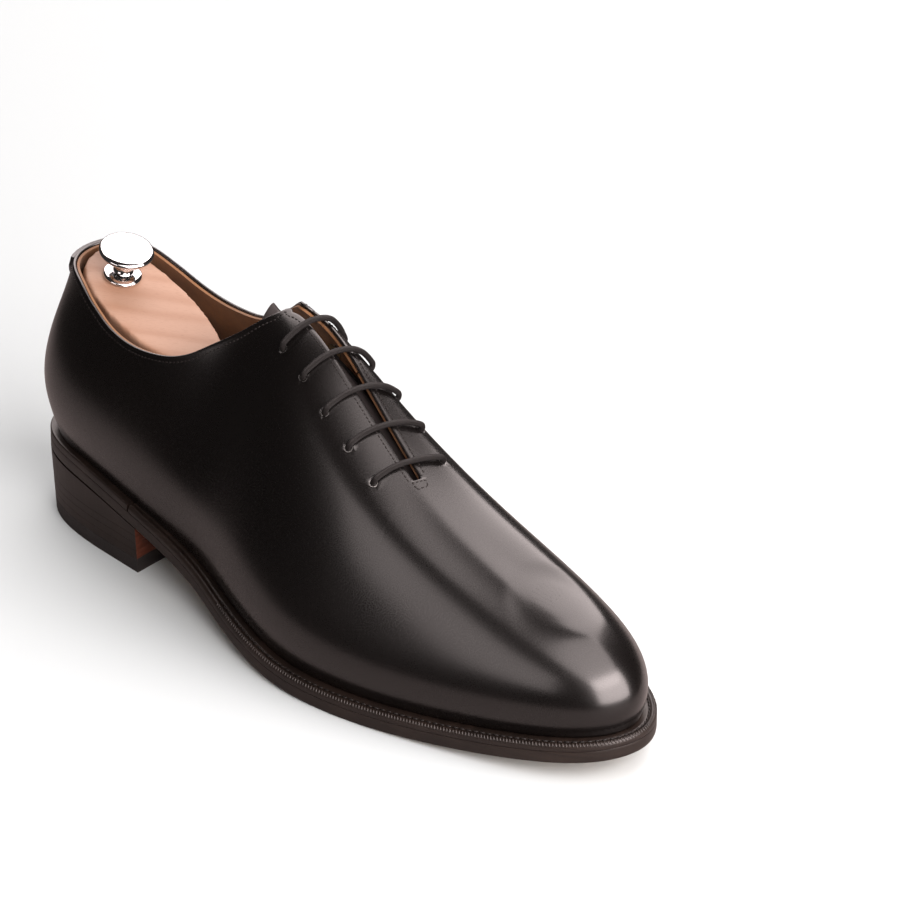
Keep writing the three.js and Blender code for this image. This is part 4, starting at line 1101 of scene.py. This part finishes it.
def make_lace():
    route = lace_route()
    t, v = facing(ROW_FIRST + route[:, 0] * ROW_PITCH, route[:, 1])
    points = surface(t, v) - normal(t, v) * route[:, 2:3]
    piece = tube("round_lace", smooth_line(points, 0.55), LACE, 16, finish("waxed_cotton"))
    return stands_for(piece, "waxed_cotton", "lace")


# ---------------------------------------------------------------- stitching

def edge_row(ts, inset):
    """A line this far inside the trimmed edge, measured square to it, just proud of the leather."""
    tops = top_of(ts)
    rim = surface(ts, tops)
    run = np.gradient(rim, axis=0)
    run /= np.linalg.norm(run, axis=1, keepdims=True)
    up, speed = up_the_rib(ts, tops)
    square = np.linalg.norm(np.cross(up, run), axis=1)
    v = tops - inset / np.maximum(square, 0.45) / speed
    return skin(ts, v, -0.03), normal(ts, v)


def bar_tack():
    """The small stitched box that stops the slit from tearing."""
    along = SLIT_LENGTH + np.array([0.9, 0.9, 3.4, 3.4, 0.9])
    across = np.array([-2.6, 2.6, 2.6, -2.6, -2.6])
    finer = np.linspace(0, 4, 33)
    t, v = facing(np.interp(finer, range(5), along), np.interp(finer, range(5), across))
    return skin(t, v, -0.03), normal(t, v)


def set_run(name, lines, pitch, length, width, height, slant, seed, material, slot):
    """Sets bumps along the lines. The slot it is given is not used."""
    values = {"Pitch": pitch, "Length": length * pitch, "Width": width, "Height": height,
              "Slant": slant, "Seed": seed}
    tree = run_tree(name + "_run", values)
    values["Material"] = finish(material)
    stands_for(bake(name, line_mesh(name + "_line", lines), tree, values), slot)


def make_stitching(sizes):
    side = np.arange(TAB_HALF + 0.04, SLIT_FOOT_T - 0.06, 0.02)
    lines = [edge_row(ts, sizes.stitch_inset * 1000) for ts in (side, ROUND - side)]
    lines.append(bar_tack())
    ts = np.linspace(-0.86 * TAB_HALF, 0.86 * TAB_HALF, 40)
    low = top_of(ts) - tab_depth(ts) + 0.1
    lines.append((skin(ts, low, -GAP - TAB - 0.02), normal(ts, low)))
    set_run("upper_stitching", lines, sizes.stitch_pitch, 0.78, 0.00055, 0.00042, 0.1, 3,
            "waxed_thread", "waxed_cotton")
    ts = np.linspace(WHEEL_T, ROUND - WHEEL_T, 900)
    high = OUTSOLE + GAP + WELT
    up = np.tile([0, 0, 1.0], (len(ts), 1))
    seam = edge_point(ts, sole_edge(ts) - 2.75, high - 0.2)
    set_run("welt_stitching", [(seam, up)], sizes.welt_stitch_pitch, 0.8, 0.0009, 0.0008, 0.12, 5,
            "waxed_thread", "waxed_cotton")
    rim = edge_point(ts, sole_edge(ts) - 0.62, high - 0.5)
    lean = outward(ts) * 0.75 + up * 0.66
    set_run("welt_wheel_marks", [(rim, lean)], sizes.wheel_pitch, 0.66, 0.0021, 0.0007, 0.28, 7,
            "dressed_edge", "dressed_edge")


# ---------------------------------------------------------------- bottom

SOLE_PROFILE = [(1.8, 0.0), (0.8, 0.03), (0.35, 0.25), (0.1, 0.8), (0.0, 1.8), (0.0, 4.0), (0.03, 4.8),
                (0.12, 5.06), (1.0, 5.12)]
WELT_PROFILE = [(1.0, -0.16), (0.16, -0.12), (0.04, 0.02), (0.0, 0.3), (0.0, 1.35), (0.2, 2.05), (0.65, 2.65),
                (1.25, 2.95), (1.7, 3.0), (2.1, 2.9), (2.4, 2.6), (3.0, 2.6), (3.3, 2.9), (3.7, 3.0)]
RAND_PROFILE = [(1.0, -0.16), (0.14, -0.12), (0.04, 0.02), (0.0, 0.3), (0.0, 2.4), (0.12, 2.8), (0.5, 3.0),
                (1.2, 3.0)]


def sole_rings(ts, profile, base):
    return [edge_point(ts, sole_edge(ts) - inset, base + level) for inset, level in profile]


def pave(bm, ring, side_count, level, steps=10, flip=False):
    """Closes an outline with rows of faces across the shoe, following the sole's curve."""
    count = len(ring)
    rows = []
    for k in range(side_count):
        a, b = ring[k], ring[(count - k) % count]
        if a is b:
            rows.append([a] * (steps + 1))
            continue
        row = [a]
        for s in np.linspace(0, 1, steps + 1)[1:-1]:
            p = a.co.lerp(b.co, s)
            p.z = (sole_z(p.x * 1000 + BOX_MIDDLE[0]) + level) / 1000
            row.append(bm.verts.new(p))
        rows.append(row + [b])
    for a, b in zip(rows, rows[1:]):
        for j in range(steps):
            corners = []
            for v in (a[j], b[j], b[j + 1], a[j + 1]):
                if v not in corners:
                    corners.append(v)
            if len(corners) > 2:
                bm.faces.new(corners[::-1] if flip else corners)


def make_outsole():
    side = np.linspace(0, TOE, 209)
    ts = np.concatenate([side, ROUND - side[-2:0:-1]])
    bm = bmesh.new()
    rings = [[bm.verts.new(p) for p in metres(ring)] for ring in sole_rings(ts, SOLE_PROFILE, 0)]
    grid = [list(column) for column in zip(*rings)]
    quads(bm, grid, ring=True)
    pave(bm, rings[0], len(side), 0.0)
    pave(bm, rings[-1], len(side), OUTSOLE, flip=True)
    piece = finish_mesh("sole", bm, finish("sole_leather"), 60)
    piece.data.materials.append(finish("dressed_edge"))
    for face in piece.data.polygons:
        rise = face.center.z * 1000 - sole_z(face.center.x * 1000 + BOX_MIDDLE[0])
        if rise > 0.1:
            face.material_index = 1
    return stands_for(piece, "sole_leather", "outsole")


def make_band(name, node, start, stop, profile, slot):
    """Welt or heel rand: a strip round the shoe between the sole and the upper."""
    ts = np.linspace(start, stop, int(abs(stop - start) * 14))
    base = OUTSOLE + GAP
    loops = [edge_point(ts, -MARGIN, base)] + sole_rings(ts, profile, base)
    loops.append(edge_point(ts, -MARGIN, base + WELT))
    bm = bmesh.new()
    grid = [[bm.verts.new(p) for p in metres(column)] for column in np.stack(loops, 1)]
    quads(bm, grid)
    for k in range(len(grid) - 1):
        bm.faces.new([grid[k][-1], grid[k + 1][-1], grid[k + 1][0], grid[k][0]])
    bm.faces.new(grid[0])
    bm.faces.new(grid[-1][::-1])
    piece = finish_mesh(name, bm, finish(slot), 60)
    return stands_for(piece, slot, node)


def breast_rows():
    """Rows of the last at which the sole edge reaches the heel's breast, lateral and medial."""
    ts = np.linspace(2, 6, 800)
    return [float(np.interp(HEEL_LENGTH, edge_point(s, sole_edge(s), 0)[:, 0], ts))
            for s in (ts, ROUND - ts)]


BREAST_HOLLOW = 1.6        # how far the middle of the breast lies behind its corners

# inset, share of the layer's height, and a nudge upwards, from the lower face to the upper one
LAYER_PROFILE = [(0.4, 0, 0), (0.05, 0, 0.01), (0, 0, 0.07), (0, 0.5, 0), (0, 1, -0.07), (0.05, 1, -0.01),
                 (0.4, 1, 0)]


def make_heel_layer(name, node, low, high, slot):
    """One layer of the heel. low and high give its faces' heights over x."""
    lateral, medial = breast_rows()
    ts = np.concatenate([np.linspace(lateral, 0, 60), ROUND - np.linspace(0, medial, 60)[1:]])
    across = np.linspace(0, 1, 13)[1:-1]
    hollow = BREAST_HOLLOW * (1 - (2 * across - 1) ** 2)
    level = lambda x, share, nudge: low(x) + (high(x) - low(x)) * share + nudge
    loops = []
    for inset, share, nudge in LAYER_PROFILE:
        flat = edge_point(ts, sole_edge(ts), 0)
        z = level(flat[:, 0], share, nudge)
        out = sole_edge(ts) - inset - HEEL_TAPER * (1 - z / HEEL_HEIGHT)
        ring = edge_point(ts, out, 0)
        ring[:, 2] = z
        ring[:, 0] = np.minimum(ring[:, 0], HEEL_LENGTH - inset)
        a, b = ring[-1], ring[0]
        front = a + (b - a) * across[:, None]
        front[:, 0] -= hollow
        front[:, 2] = level(front[:, 0], share, nudge)
        loops.append(np.vstack([ring, front]))
    bm = bmesh.new()
    grid = [[bm.verts.new(p) for p in metres(column)] for column in np.stack(loops, 1)]
    quads(bm, grid, ring=True)
    bm.faces.new([column[0] for column in grid])
    bm.faces.new([column[-1] for column in grid][::-1])
    piece = finish_mesh(name, bm, finish(slot), 35)
    if slot == "dressed_edge":
        piece.data.materials.append(finish("heel_breast"))
        front_x = (HEEL_LENGTH - 2.6 - BOX_MIDDLE[0]) / 1000
        for face in piece.data.polygons:
            if face.normal.x > 0.8 and face.center.x > front_x:
                face.material_index = 1
    return stands_for(piece, slot, node)


def make_heel():
    tight = 0.14          # closes the thin joints between the layers
    flat = lambda z: (lambda x: np.full(np.shape(x), z))
    make_heel_layer("top_piece", "rubber_top_piece", flat(0.0), flat(TOP_PIECE + tight), "heel_rubber")
    for k in range(LIFT_COUNT):
        low = TOP_PIECE + GAP + k * (LIFT + GAP)
        make_heel_layer(f"lift_{k + 1}", f"heel_lift_{k + 1}", flat(low - tight), flat(low + LIFT + tight),
                        "dressed_edge")
    seat = TOP_PIECE + GAP + LIFT_COUNT * (LIFT + GAP)
    make_heel_layer("seat_lift", "heel_seat_lift", flat(seat - tight), lambda x: sole_z(x) - GAP + tight,
                    "dressed_edge")


# ---------------------------------------------------------------- shoe tree

PIVOT = np.array([139.0, 0.0, float(feather_z(139.0)) + 24])
TREE_PITCH = 0.26
TREE_TURN = Matrix.Rotation(TREE_PITCH, 4, "Y")
TUBE_OUTER, TUBE_INNER, TUBE_REACH, TUBE_LENGTH = 6.0, 3.6, 34.0, 52.0
DECK_X, DECK_ABOVE, DECK_SLOPE = 12.0, 68.8, 0.23
KNOB_X = 27.5
FLANGE = [(0, 0), (7.3, 0), (7.6, 0.25), (7.55, 0.7), (7.1, 1.15), (5.9, 1.6), (4.4, 1.85), (3.2, 2.0),
          (0, 2.0)]
KNOB = [(0, 2.3), (3.9, 2.3), (4.0, 2.5), (3.6, 2.9), (3.15, 3.7), (2.95, 5), (2.9, 7), (3.1, 8.4),
        (3.8, 9.4), (5.2, 10.0), (7.6, 10.3), (9.5, 10.5), (10.3, 10.9), (10.6, 11.5), (10.6, 11.9),
        (10.3, 12.5), (9.6, 12.9), (8.4, 13.1), (5, 13.35), (0, 13.5)]
DECK_EDGE = [[6, 3], [10, 6.5], [20, 14.2], [30, 18.4], [40, 21], [50, 22.2], [60, 22.5], [70, 20.8],
             [77, 16], [84, 5]]


def widen_deck(p):
    """Lets the heel block's top spread to the lining on the lateral side."""
    stations = np.arange(8, 84, 3.0)
    top = p[:, 2] > 82
    now = [-p[top & (np.abs(p[:, 0] - x) < 2.5), 1].min() for x in stations]
    ratio = np.clip(through(DECK_EDGE, stations) / np.array(now), 1, 1.6)
    grow = (np.interp(p[:, 0], stations, ratio) - 1) * ease(72, 86, p[:, 2])
    p[:, 1] = np.where(p[:, 1] < 0, p[:, 1] * (1 + grow), p[:, 1])
    return p


def carve(name, node, voxel, body, rounds, shape=None):
    """A wooden block worked from the frame's own solid: its faces kept, its edges sanded round."""
    source = frame["nodes"][node]
    bm = bmesh.new()
    bm.from_mesh(source.data)
    bmesh.ops.remove_doubles(bm, verts=bm.verts, dist=1e-6)
    mesh = bpy.data.meshes.new(name)
    bm.to_mesh(mesh)
    bm.free()
    block = bpy.data.objects.new(name, mesh)
    bpy.context.scene.collection.objects.link(block)
    remesh = block.modifiers.new("remesh", "REMESH")
    remesh.mode = "VOXEL"
    remesh.voxel_size = voxel
    sand = block.modifiers.new("sand", "SMOOTH")
    sand.factor = 0.5
    sand.iterations = rounds
    bpy.context.view_layer.update()
    done = bpy.data.meshes.new_from_object(block.evaluated_get(bpy.context.evaluated_depsgraph_get()))
    bpy.data.objects.remove(block)
    done.name = name
    if shape:
        flat = np.empty(len(done.vertices) * 3)
        done.vertices.foreach_get("co", flat)
        done.vertices.foreach_set("co", metres(shape(flat.reshape(-1, 3) * 1000 + BOX_MIDDLE)).ravel())
        done.update()
    done.shade_smooth()
    piece = add_piece(name, done, finish("beech"), body)
    return stands_for(piece, "beech", node)


def deck_z(x):
    return float(feather_z(DECK_X)) + DECK_ABOVE - DECK_SLOPE * (x - DECK_X)


def on_axis(bm, start):
    """Sets a shape drawn along +z on the tree's axis, which climbs from the pivot towards the heel."""
    turn = TREE_TURN @ Matrix.Translation((-start, 0, 0)) @ Matrix.Rotation(-math.pi / 2, 4, "Y")
    return place(bm, PIVOT, turn)


def make_tree():
    carve("forepart_block", "tree_forepart", 0.0011, "shoe", 6)
    carve("heel_block", "tree_heel_block", 0.0007, "tree_heel", 14, widen_deck)
    sleeve = turned([(TUBE_INNER, 0), (5.6, 0), (TUBE_OUTER, 0.4), (TUBE_OUTER, TUBE_LENGTH - 0.4),
                     (5.6, TUBE_LENGTH), (TUBE_INNER, TUBE_LENGTH), (TUBE_INNER, 0)], 48)
    stands_for(finish_mesh("brass_sleeve", on_axis(sleeve, TUBE_REACH), finish("brass"), 40, "tree_heel"),
               "brass", "tree_tube")
    start, end, radius, turns = 7.2, 32.9, 5.0, 6
    angle = np.linspace(0, 2 * math.pi * turns, turns * 40)
    helix = np.stack([-(start + (end - start) * angle / angle[-1]), radius * np.cos(angle),
                      radius * np.sin(angle)], 1)
    spin = np.array(TREE_TURN.to_3x3())
    stands_for(tube("coil_spring", helix @ spin.T + PIVOT, 0.7, 12, finish("steel"), "tree_rod"),
               "steel", "tree_spring")
    tilt = math.atan(DECK_SLOPE)
    stand = (KNOB_X, -2.0, deck_z(KNOB_X) + GAP / math.cos(tilt))
    turn = Matrix.Rotation(tilt, 4, "Y")
    for name, node, profile in (("knob_flange", "tree_knob_flange", FLANGE),
                                ("knob_disc", "tree_knob", KNOB)):
        bm = place(turned(profile, 96), stand, turn)
        stands_for(finish_mesh(name, bm, finish("chrome"), 45, "tree_heel"), "chrome", node)


# ---------------------------------------------------------------- stage

FLOOR_RADIUS = 0.6
CAMERA_TURN, CAMERA_RISE, CAMERA_AWAY, CAMERA_LENS = 46.5, 31, 3.0, 320.4
CAMERA_SHIFT = (0.03884, 0.02266)      # of the aim, right and up


def make_stage():
    looks = bpy.context.scene.oxford_finishes
    bm = bmesh.new()
    bmesh.ops.create_circle(bm, cap_ends=True, segments=96, radius=FLOOR_RADIUS)
    mesh = bpy.data.meshes.new("floor")
    bm.to_mesh(mesh)
    bm.free()
    floor = bpy.data.objects.new("floor", mesh)
    bpy.context.scene.collection.objects.link(floor)
    mesh.materials.append(finish("paper_sweep"))
    for name, at, aim, size, power in (
            ("toe_box", (1.2, 0.0, 0.6), (0.0, 0.0, 0.05), (1.7, 1.1), looks.toe_light),
            ("back_box", (-0.66, 0.7, 0.95), (0.0, 0.0, 0.05), (1.7, 1.5), looks.back_light),
            ("top_box", (0.55, -0.08, 0.62), (0.55, -0.08, 0.0), (0.8, 0.9), looks.top_light),
            ("side_box", (0.04, -1.2, 0.55), (0.04, 0.0, 0.05), (0.6, 0.45), looks.side_light)):
        light = bpy.data.lights.new(name, "AREA")
        light.shape = "RECTANGLE"
        light.size, light.size_y = size
        light.energy = power
        light.color = (1.0, 0.875, 0.855)
        lamp = bpy.data.objects.new(name, light)
        lamp.location = at
        lamp.visible_camera = False
        lamp.rotation_euler = (Vector(aim) - Vector(at)).to_track_quat("-Z", "Y").to_euler()
        bpy.context.scene.collection.objects.link(lamp)
    world = bpy.data.worlds.new("studio")
    bpy.context.scene.world = world
    world.use_nodes = True
    nodes, links = world.node_tree.nodes, world.node_tree.links
    nodes.clear()
    seen = nodes.new("ShaderNodeLightPath")
    mix, out = nodes.new("ShaderNodeMixShader"), nodes.new("ShaderNodeOutputWorld")
    links.new(seen.outputs["Is Camera Ray"], mix.inputs[0])
    for socket, glow in ((1, (0.03, 0.027, 0.026, 1)), (2, (1, 1, 1, 1))):
        background = nodes.new("ShaderNodeBackground")
        background.inputs[0].default_value = glow
        links.new(background.outputs[0], mix.inputs[socket])
    links.new(mix.outputs[0], out.inputs[0])
    bpy.context.scene.view_settings.view_transform = "Standard"
    make_camera()


def make_camera():
    turn, rise = math.radians(CAMERA_TURN), math.radians(CAMERA_RISE)
    right = Vector((math.cos(turn), math.sin(turn), 0))
    back = Vector((math.sin(turn) * math.cos(rise), -math.cos(turn) * math.cos(rise), math.sin(rise)))
    up = back.cross(right)
    aim = Vector(metres((150, 0, 50))) + right * CAMERA_SHIFT[0] + up * CAMERA_SHIFT[1]
    camera = bpy.data.cameras.new("camera")
    camera.lens = CAMERA_LENS
    camera.sensor_width = 36
    holder = bpy.data.objects.new("camera", camera)
    turned_to = Matrix((right, up, back)).transposed().to_4x4()
    holder.matrix_world = Matrix.Translation(aim + back * CAMERA_AWAY) @ turned_to
    bpy.context.scene.collection.objects.link(holder)
    bpy.context.scene.camera = holder


def dress_frame():
    """Gives every frame node that stays in view its finish from the record's slot."""
    slots = {row["node"]: row["material_slot"] for row in frame["record"]["subparts"]}
    for name, node in frame["nodes"].items():
        if not node.hide_render:
            node.data.materials.clear()
            node.data.materials.append(finish(slots[name]))


# ---------------------------------------------------------------- add-on

def length(name, description, default, low, high):
    return FloatProperty(name=name, description=description, default=default, min=low, max=high,
                         unit="LENGTH")


def colour(name, description, default):
    return FloatVectorProperty(name=name, description=description, default=default, min=0, max=1,
                               subtype="COLOR")


def power(name, description, default):
    return FloatProperty(name=name, description=description, default=default, min=0, unit="POWER")


class OxfordSizes(bpy.types.PropertyGroup):
    """Sizes of the fine work."""
    stitch_pitch: length("Stitch pitch", "Distance between stitches on the upper", 0.0017, 0.001, 0.004)
    stitch_inset: length("Stitch inset", "From the trimmed edge to its stitch row", 0.0024, 0.001, 0.006)
    welt_stitch_pitch: length("Welt stitch pitch", "Distance between welt stitches", 0.0028, 0.002, 0.006)
    wheel_pitch: length("Wheel pitch", "Distance between marks of the welt wheel", 0.0013, 0.0008, 0.004)


class OxfordFinishes(bpy.types.PropertyGroup):
    """Colours and gloss."""
    calf: colour("Calf", "Colour of the upper", (0.0015, 0.0011, 0.001))
    calf_roughness: FloatProperty(name="Calf roughness", description="Lower is glossier", subtype="FACTOR",
                                  default=0.28, min=0.05, max=1)
    lining: colour("Lining", "Colour of the lining", (0.26, 0.125, 0.05))
    edge: colour("Edge", "Colour of the dressed sole edge", (0.004, 0.003, 0.0026))
    sole: colour("Sole", "Colour of the sole leather", (0.4, 0.24, 0.14))
    beech: colour("Beech", "Colour of the shoe tree", (0.36, 0.225, 0.155))
    toe_light: power("Toe light", "Power of the light in front of the toe", 41)
    back_light: power("Back light", "Power of the light behind the heel", 26)
    side_light: power("Side light", "Power of the low light beside the shoe", 1.6)
    top_light: power("Top light", "Power of the light over the vamp", 7.0)


class OXFORD_OT_upper(bpy.types.Operator):
    """Make the wholecut upper, its linings, back tab and tongue"""
    bl_idname = "oxford.upper"
    bl_label = "Upper"

    def execute(self, context):
        make_upper()
        make_linings()
        make_heel_tab()
        make_tongue()
        return {"FINISHED"}


class OXFORD_OT_lace(bpy.types.Operator):
    """Make the round lace along its whole route"""
    bl_idname = "oxford.lace"
    bl_label = "Lace"

    def execute(self, context):
        make_lace()
        return {"FINISHED"}


class OXFORD_OT_bottom(bpy.types.Operator):
    """Make the sole, welt, heel rand and heel layers"""
    bl_idname = "oxford.bottom"
    bl_label = "Bottom"

    def execute(self, context):
        make_outsole()
        make_band("welt_strip", "welt", BREAST_T, ROUND - BREAST_T, WELT_PROFILE, "dressed_edge")
        make_band("rand_strip", "heel_rand", -BREAST_T + 0.03, BREAST_T - 0.03, RAND_PROFILE, "dressed_edge")
        make_heel()
        return {"FINISHED"}


class OXFORD_OT_stitching(bpy.types.Operator):
    """Set the stitches of upper and welt, and the marks of the welt wheel"""
    bl_idname = "oxford.stitching"
    bl_label = "Stitching"

    def execute(self, context):
        make_stitching(context.scene.oxford_sizes)
        return {"FINISHED"}


class OXFORD_OT_tree(bpy.types.Operator):
    """Make the wooden blocks, sleeve, spring and knob of the shoe tree"""
    bl_idname = "oxford.tree"
    bl_label = "Shoe tree"

    def execute(self, context):
        make_tree()
        return {"FINISHED"}


class OXFORD_OT_frame(bpy.types.Operator):
    """Give the frame's own pieces their finishes"""
    bl_idname = "oxford.frame"
    bl_label = "Frame finishes"

    def execute(self, context):
        dress_frame()
        return {"FINISHED"}


class OXFORD_OT_stage(bpy.types.Operator):
    """Set up floor, lights and camera"""
    bl_idname = "oxford.stage"
    bl_label = "Stage"

    def execute(self, context):
        make_stage()
        return {"FINISHED"}


class OXFORD_PT_workshop(bpy.types.Panel):
    """Lists the workshop's steps"""
    bl_label = "Oxford"
    bl_idname = "OXFORD_PT_workshop"
    bl_space_type = "VIEW_3D"
    bl_region_type = "UI"
    bl_category = "Oxford"

    def draw(self, context):
        for group in (context.scene.oxford_sizes, context.scene.oxford_finishes):
            for label in group.__annotations__:
                self.layout.prop(group, label)
        for step in STEPS:
            self.layout.operator(step.bl_idname)


STEPS = (OXFORD_OT_stage, OXFORD_OT_upper, OXFORD_OT_lace, OXFORD_OT_bottom, OXFORD_OT_stitching,
         OXFORD_OT_tree, OXFORD_OT_frame)
CLASSES = (OxfordSizes, OxfordFinishes, *STEPS, OXFORD_PT_workshop)


def register():
    for cls in CLASSES:
        bpy.utils.register_class(cls)
    bpy.types.Scene.oxford_sizes = PointerProperty(type=OxfordSizes)
    bpy.types.Scene.oxford_finishes = PointerProperty(type=OxfordFinishes)


def unregister():
    del bpy.types.Scene.oxford_finishes
    del bpy.types.Scene.oxford_sizes
    for cls in reversed(CLASSES):
        bpy.utils.unregister_class(cls)


def main():
    register()
    for step in STEPS:
        group, action = step.bl_idname.split(".")
        getattr(getattr(bpy.ops, group), action)()


if __name__ == "__main__":
    main()
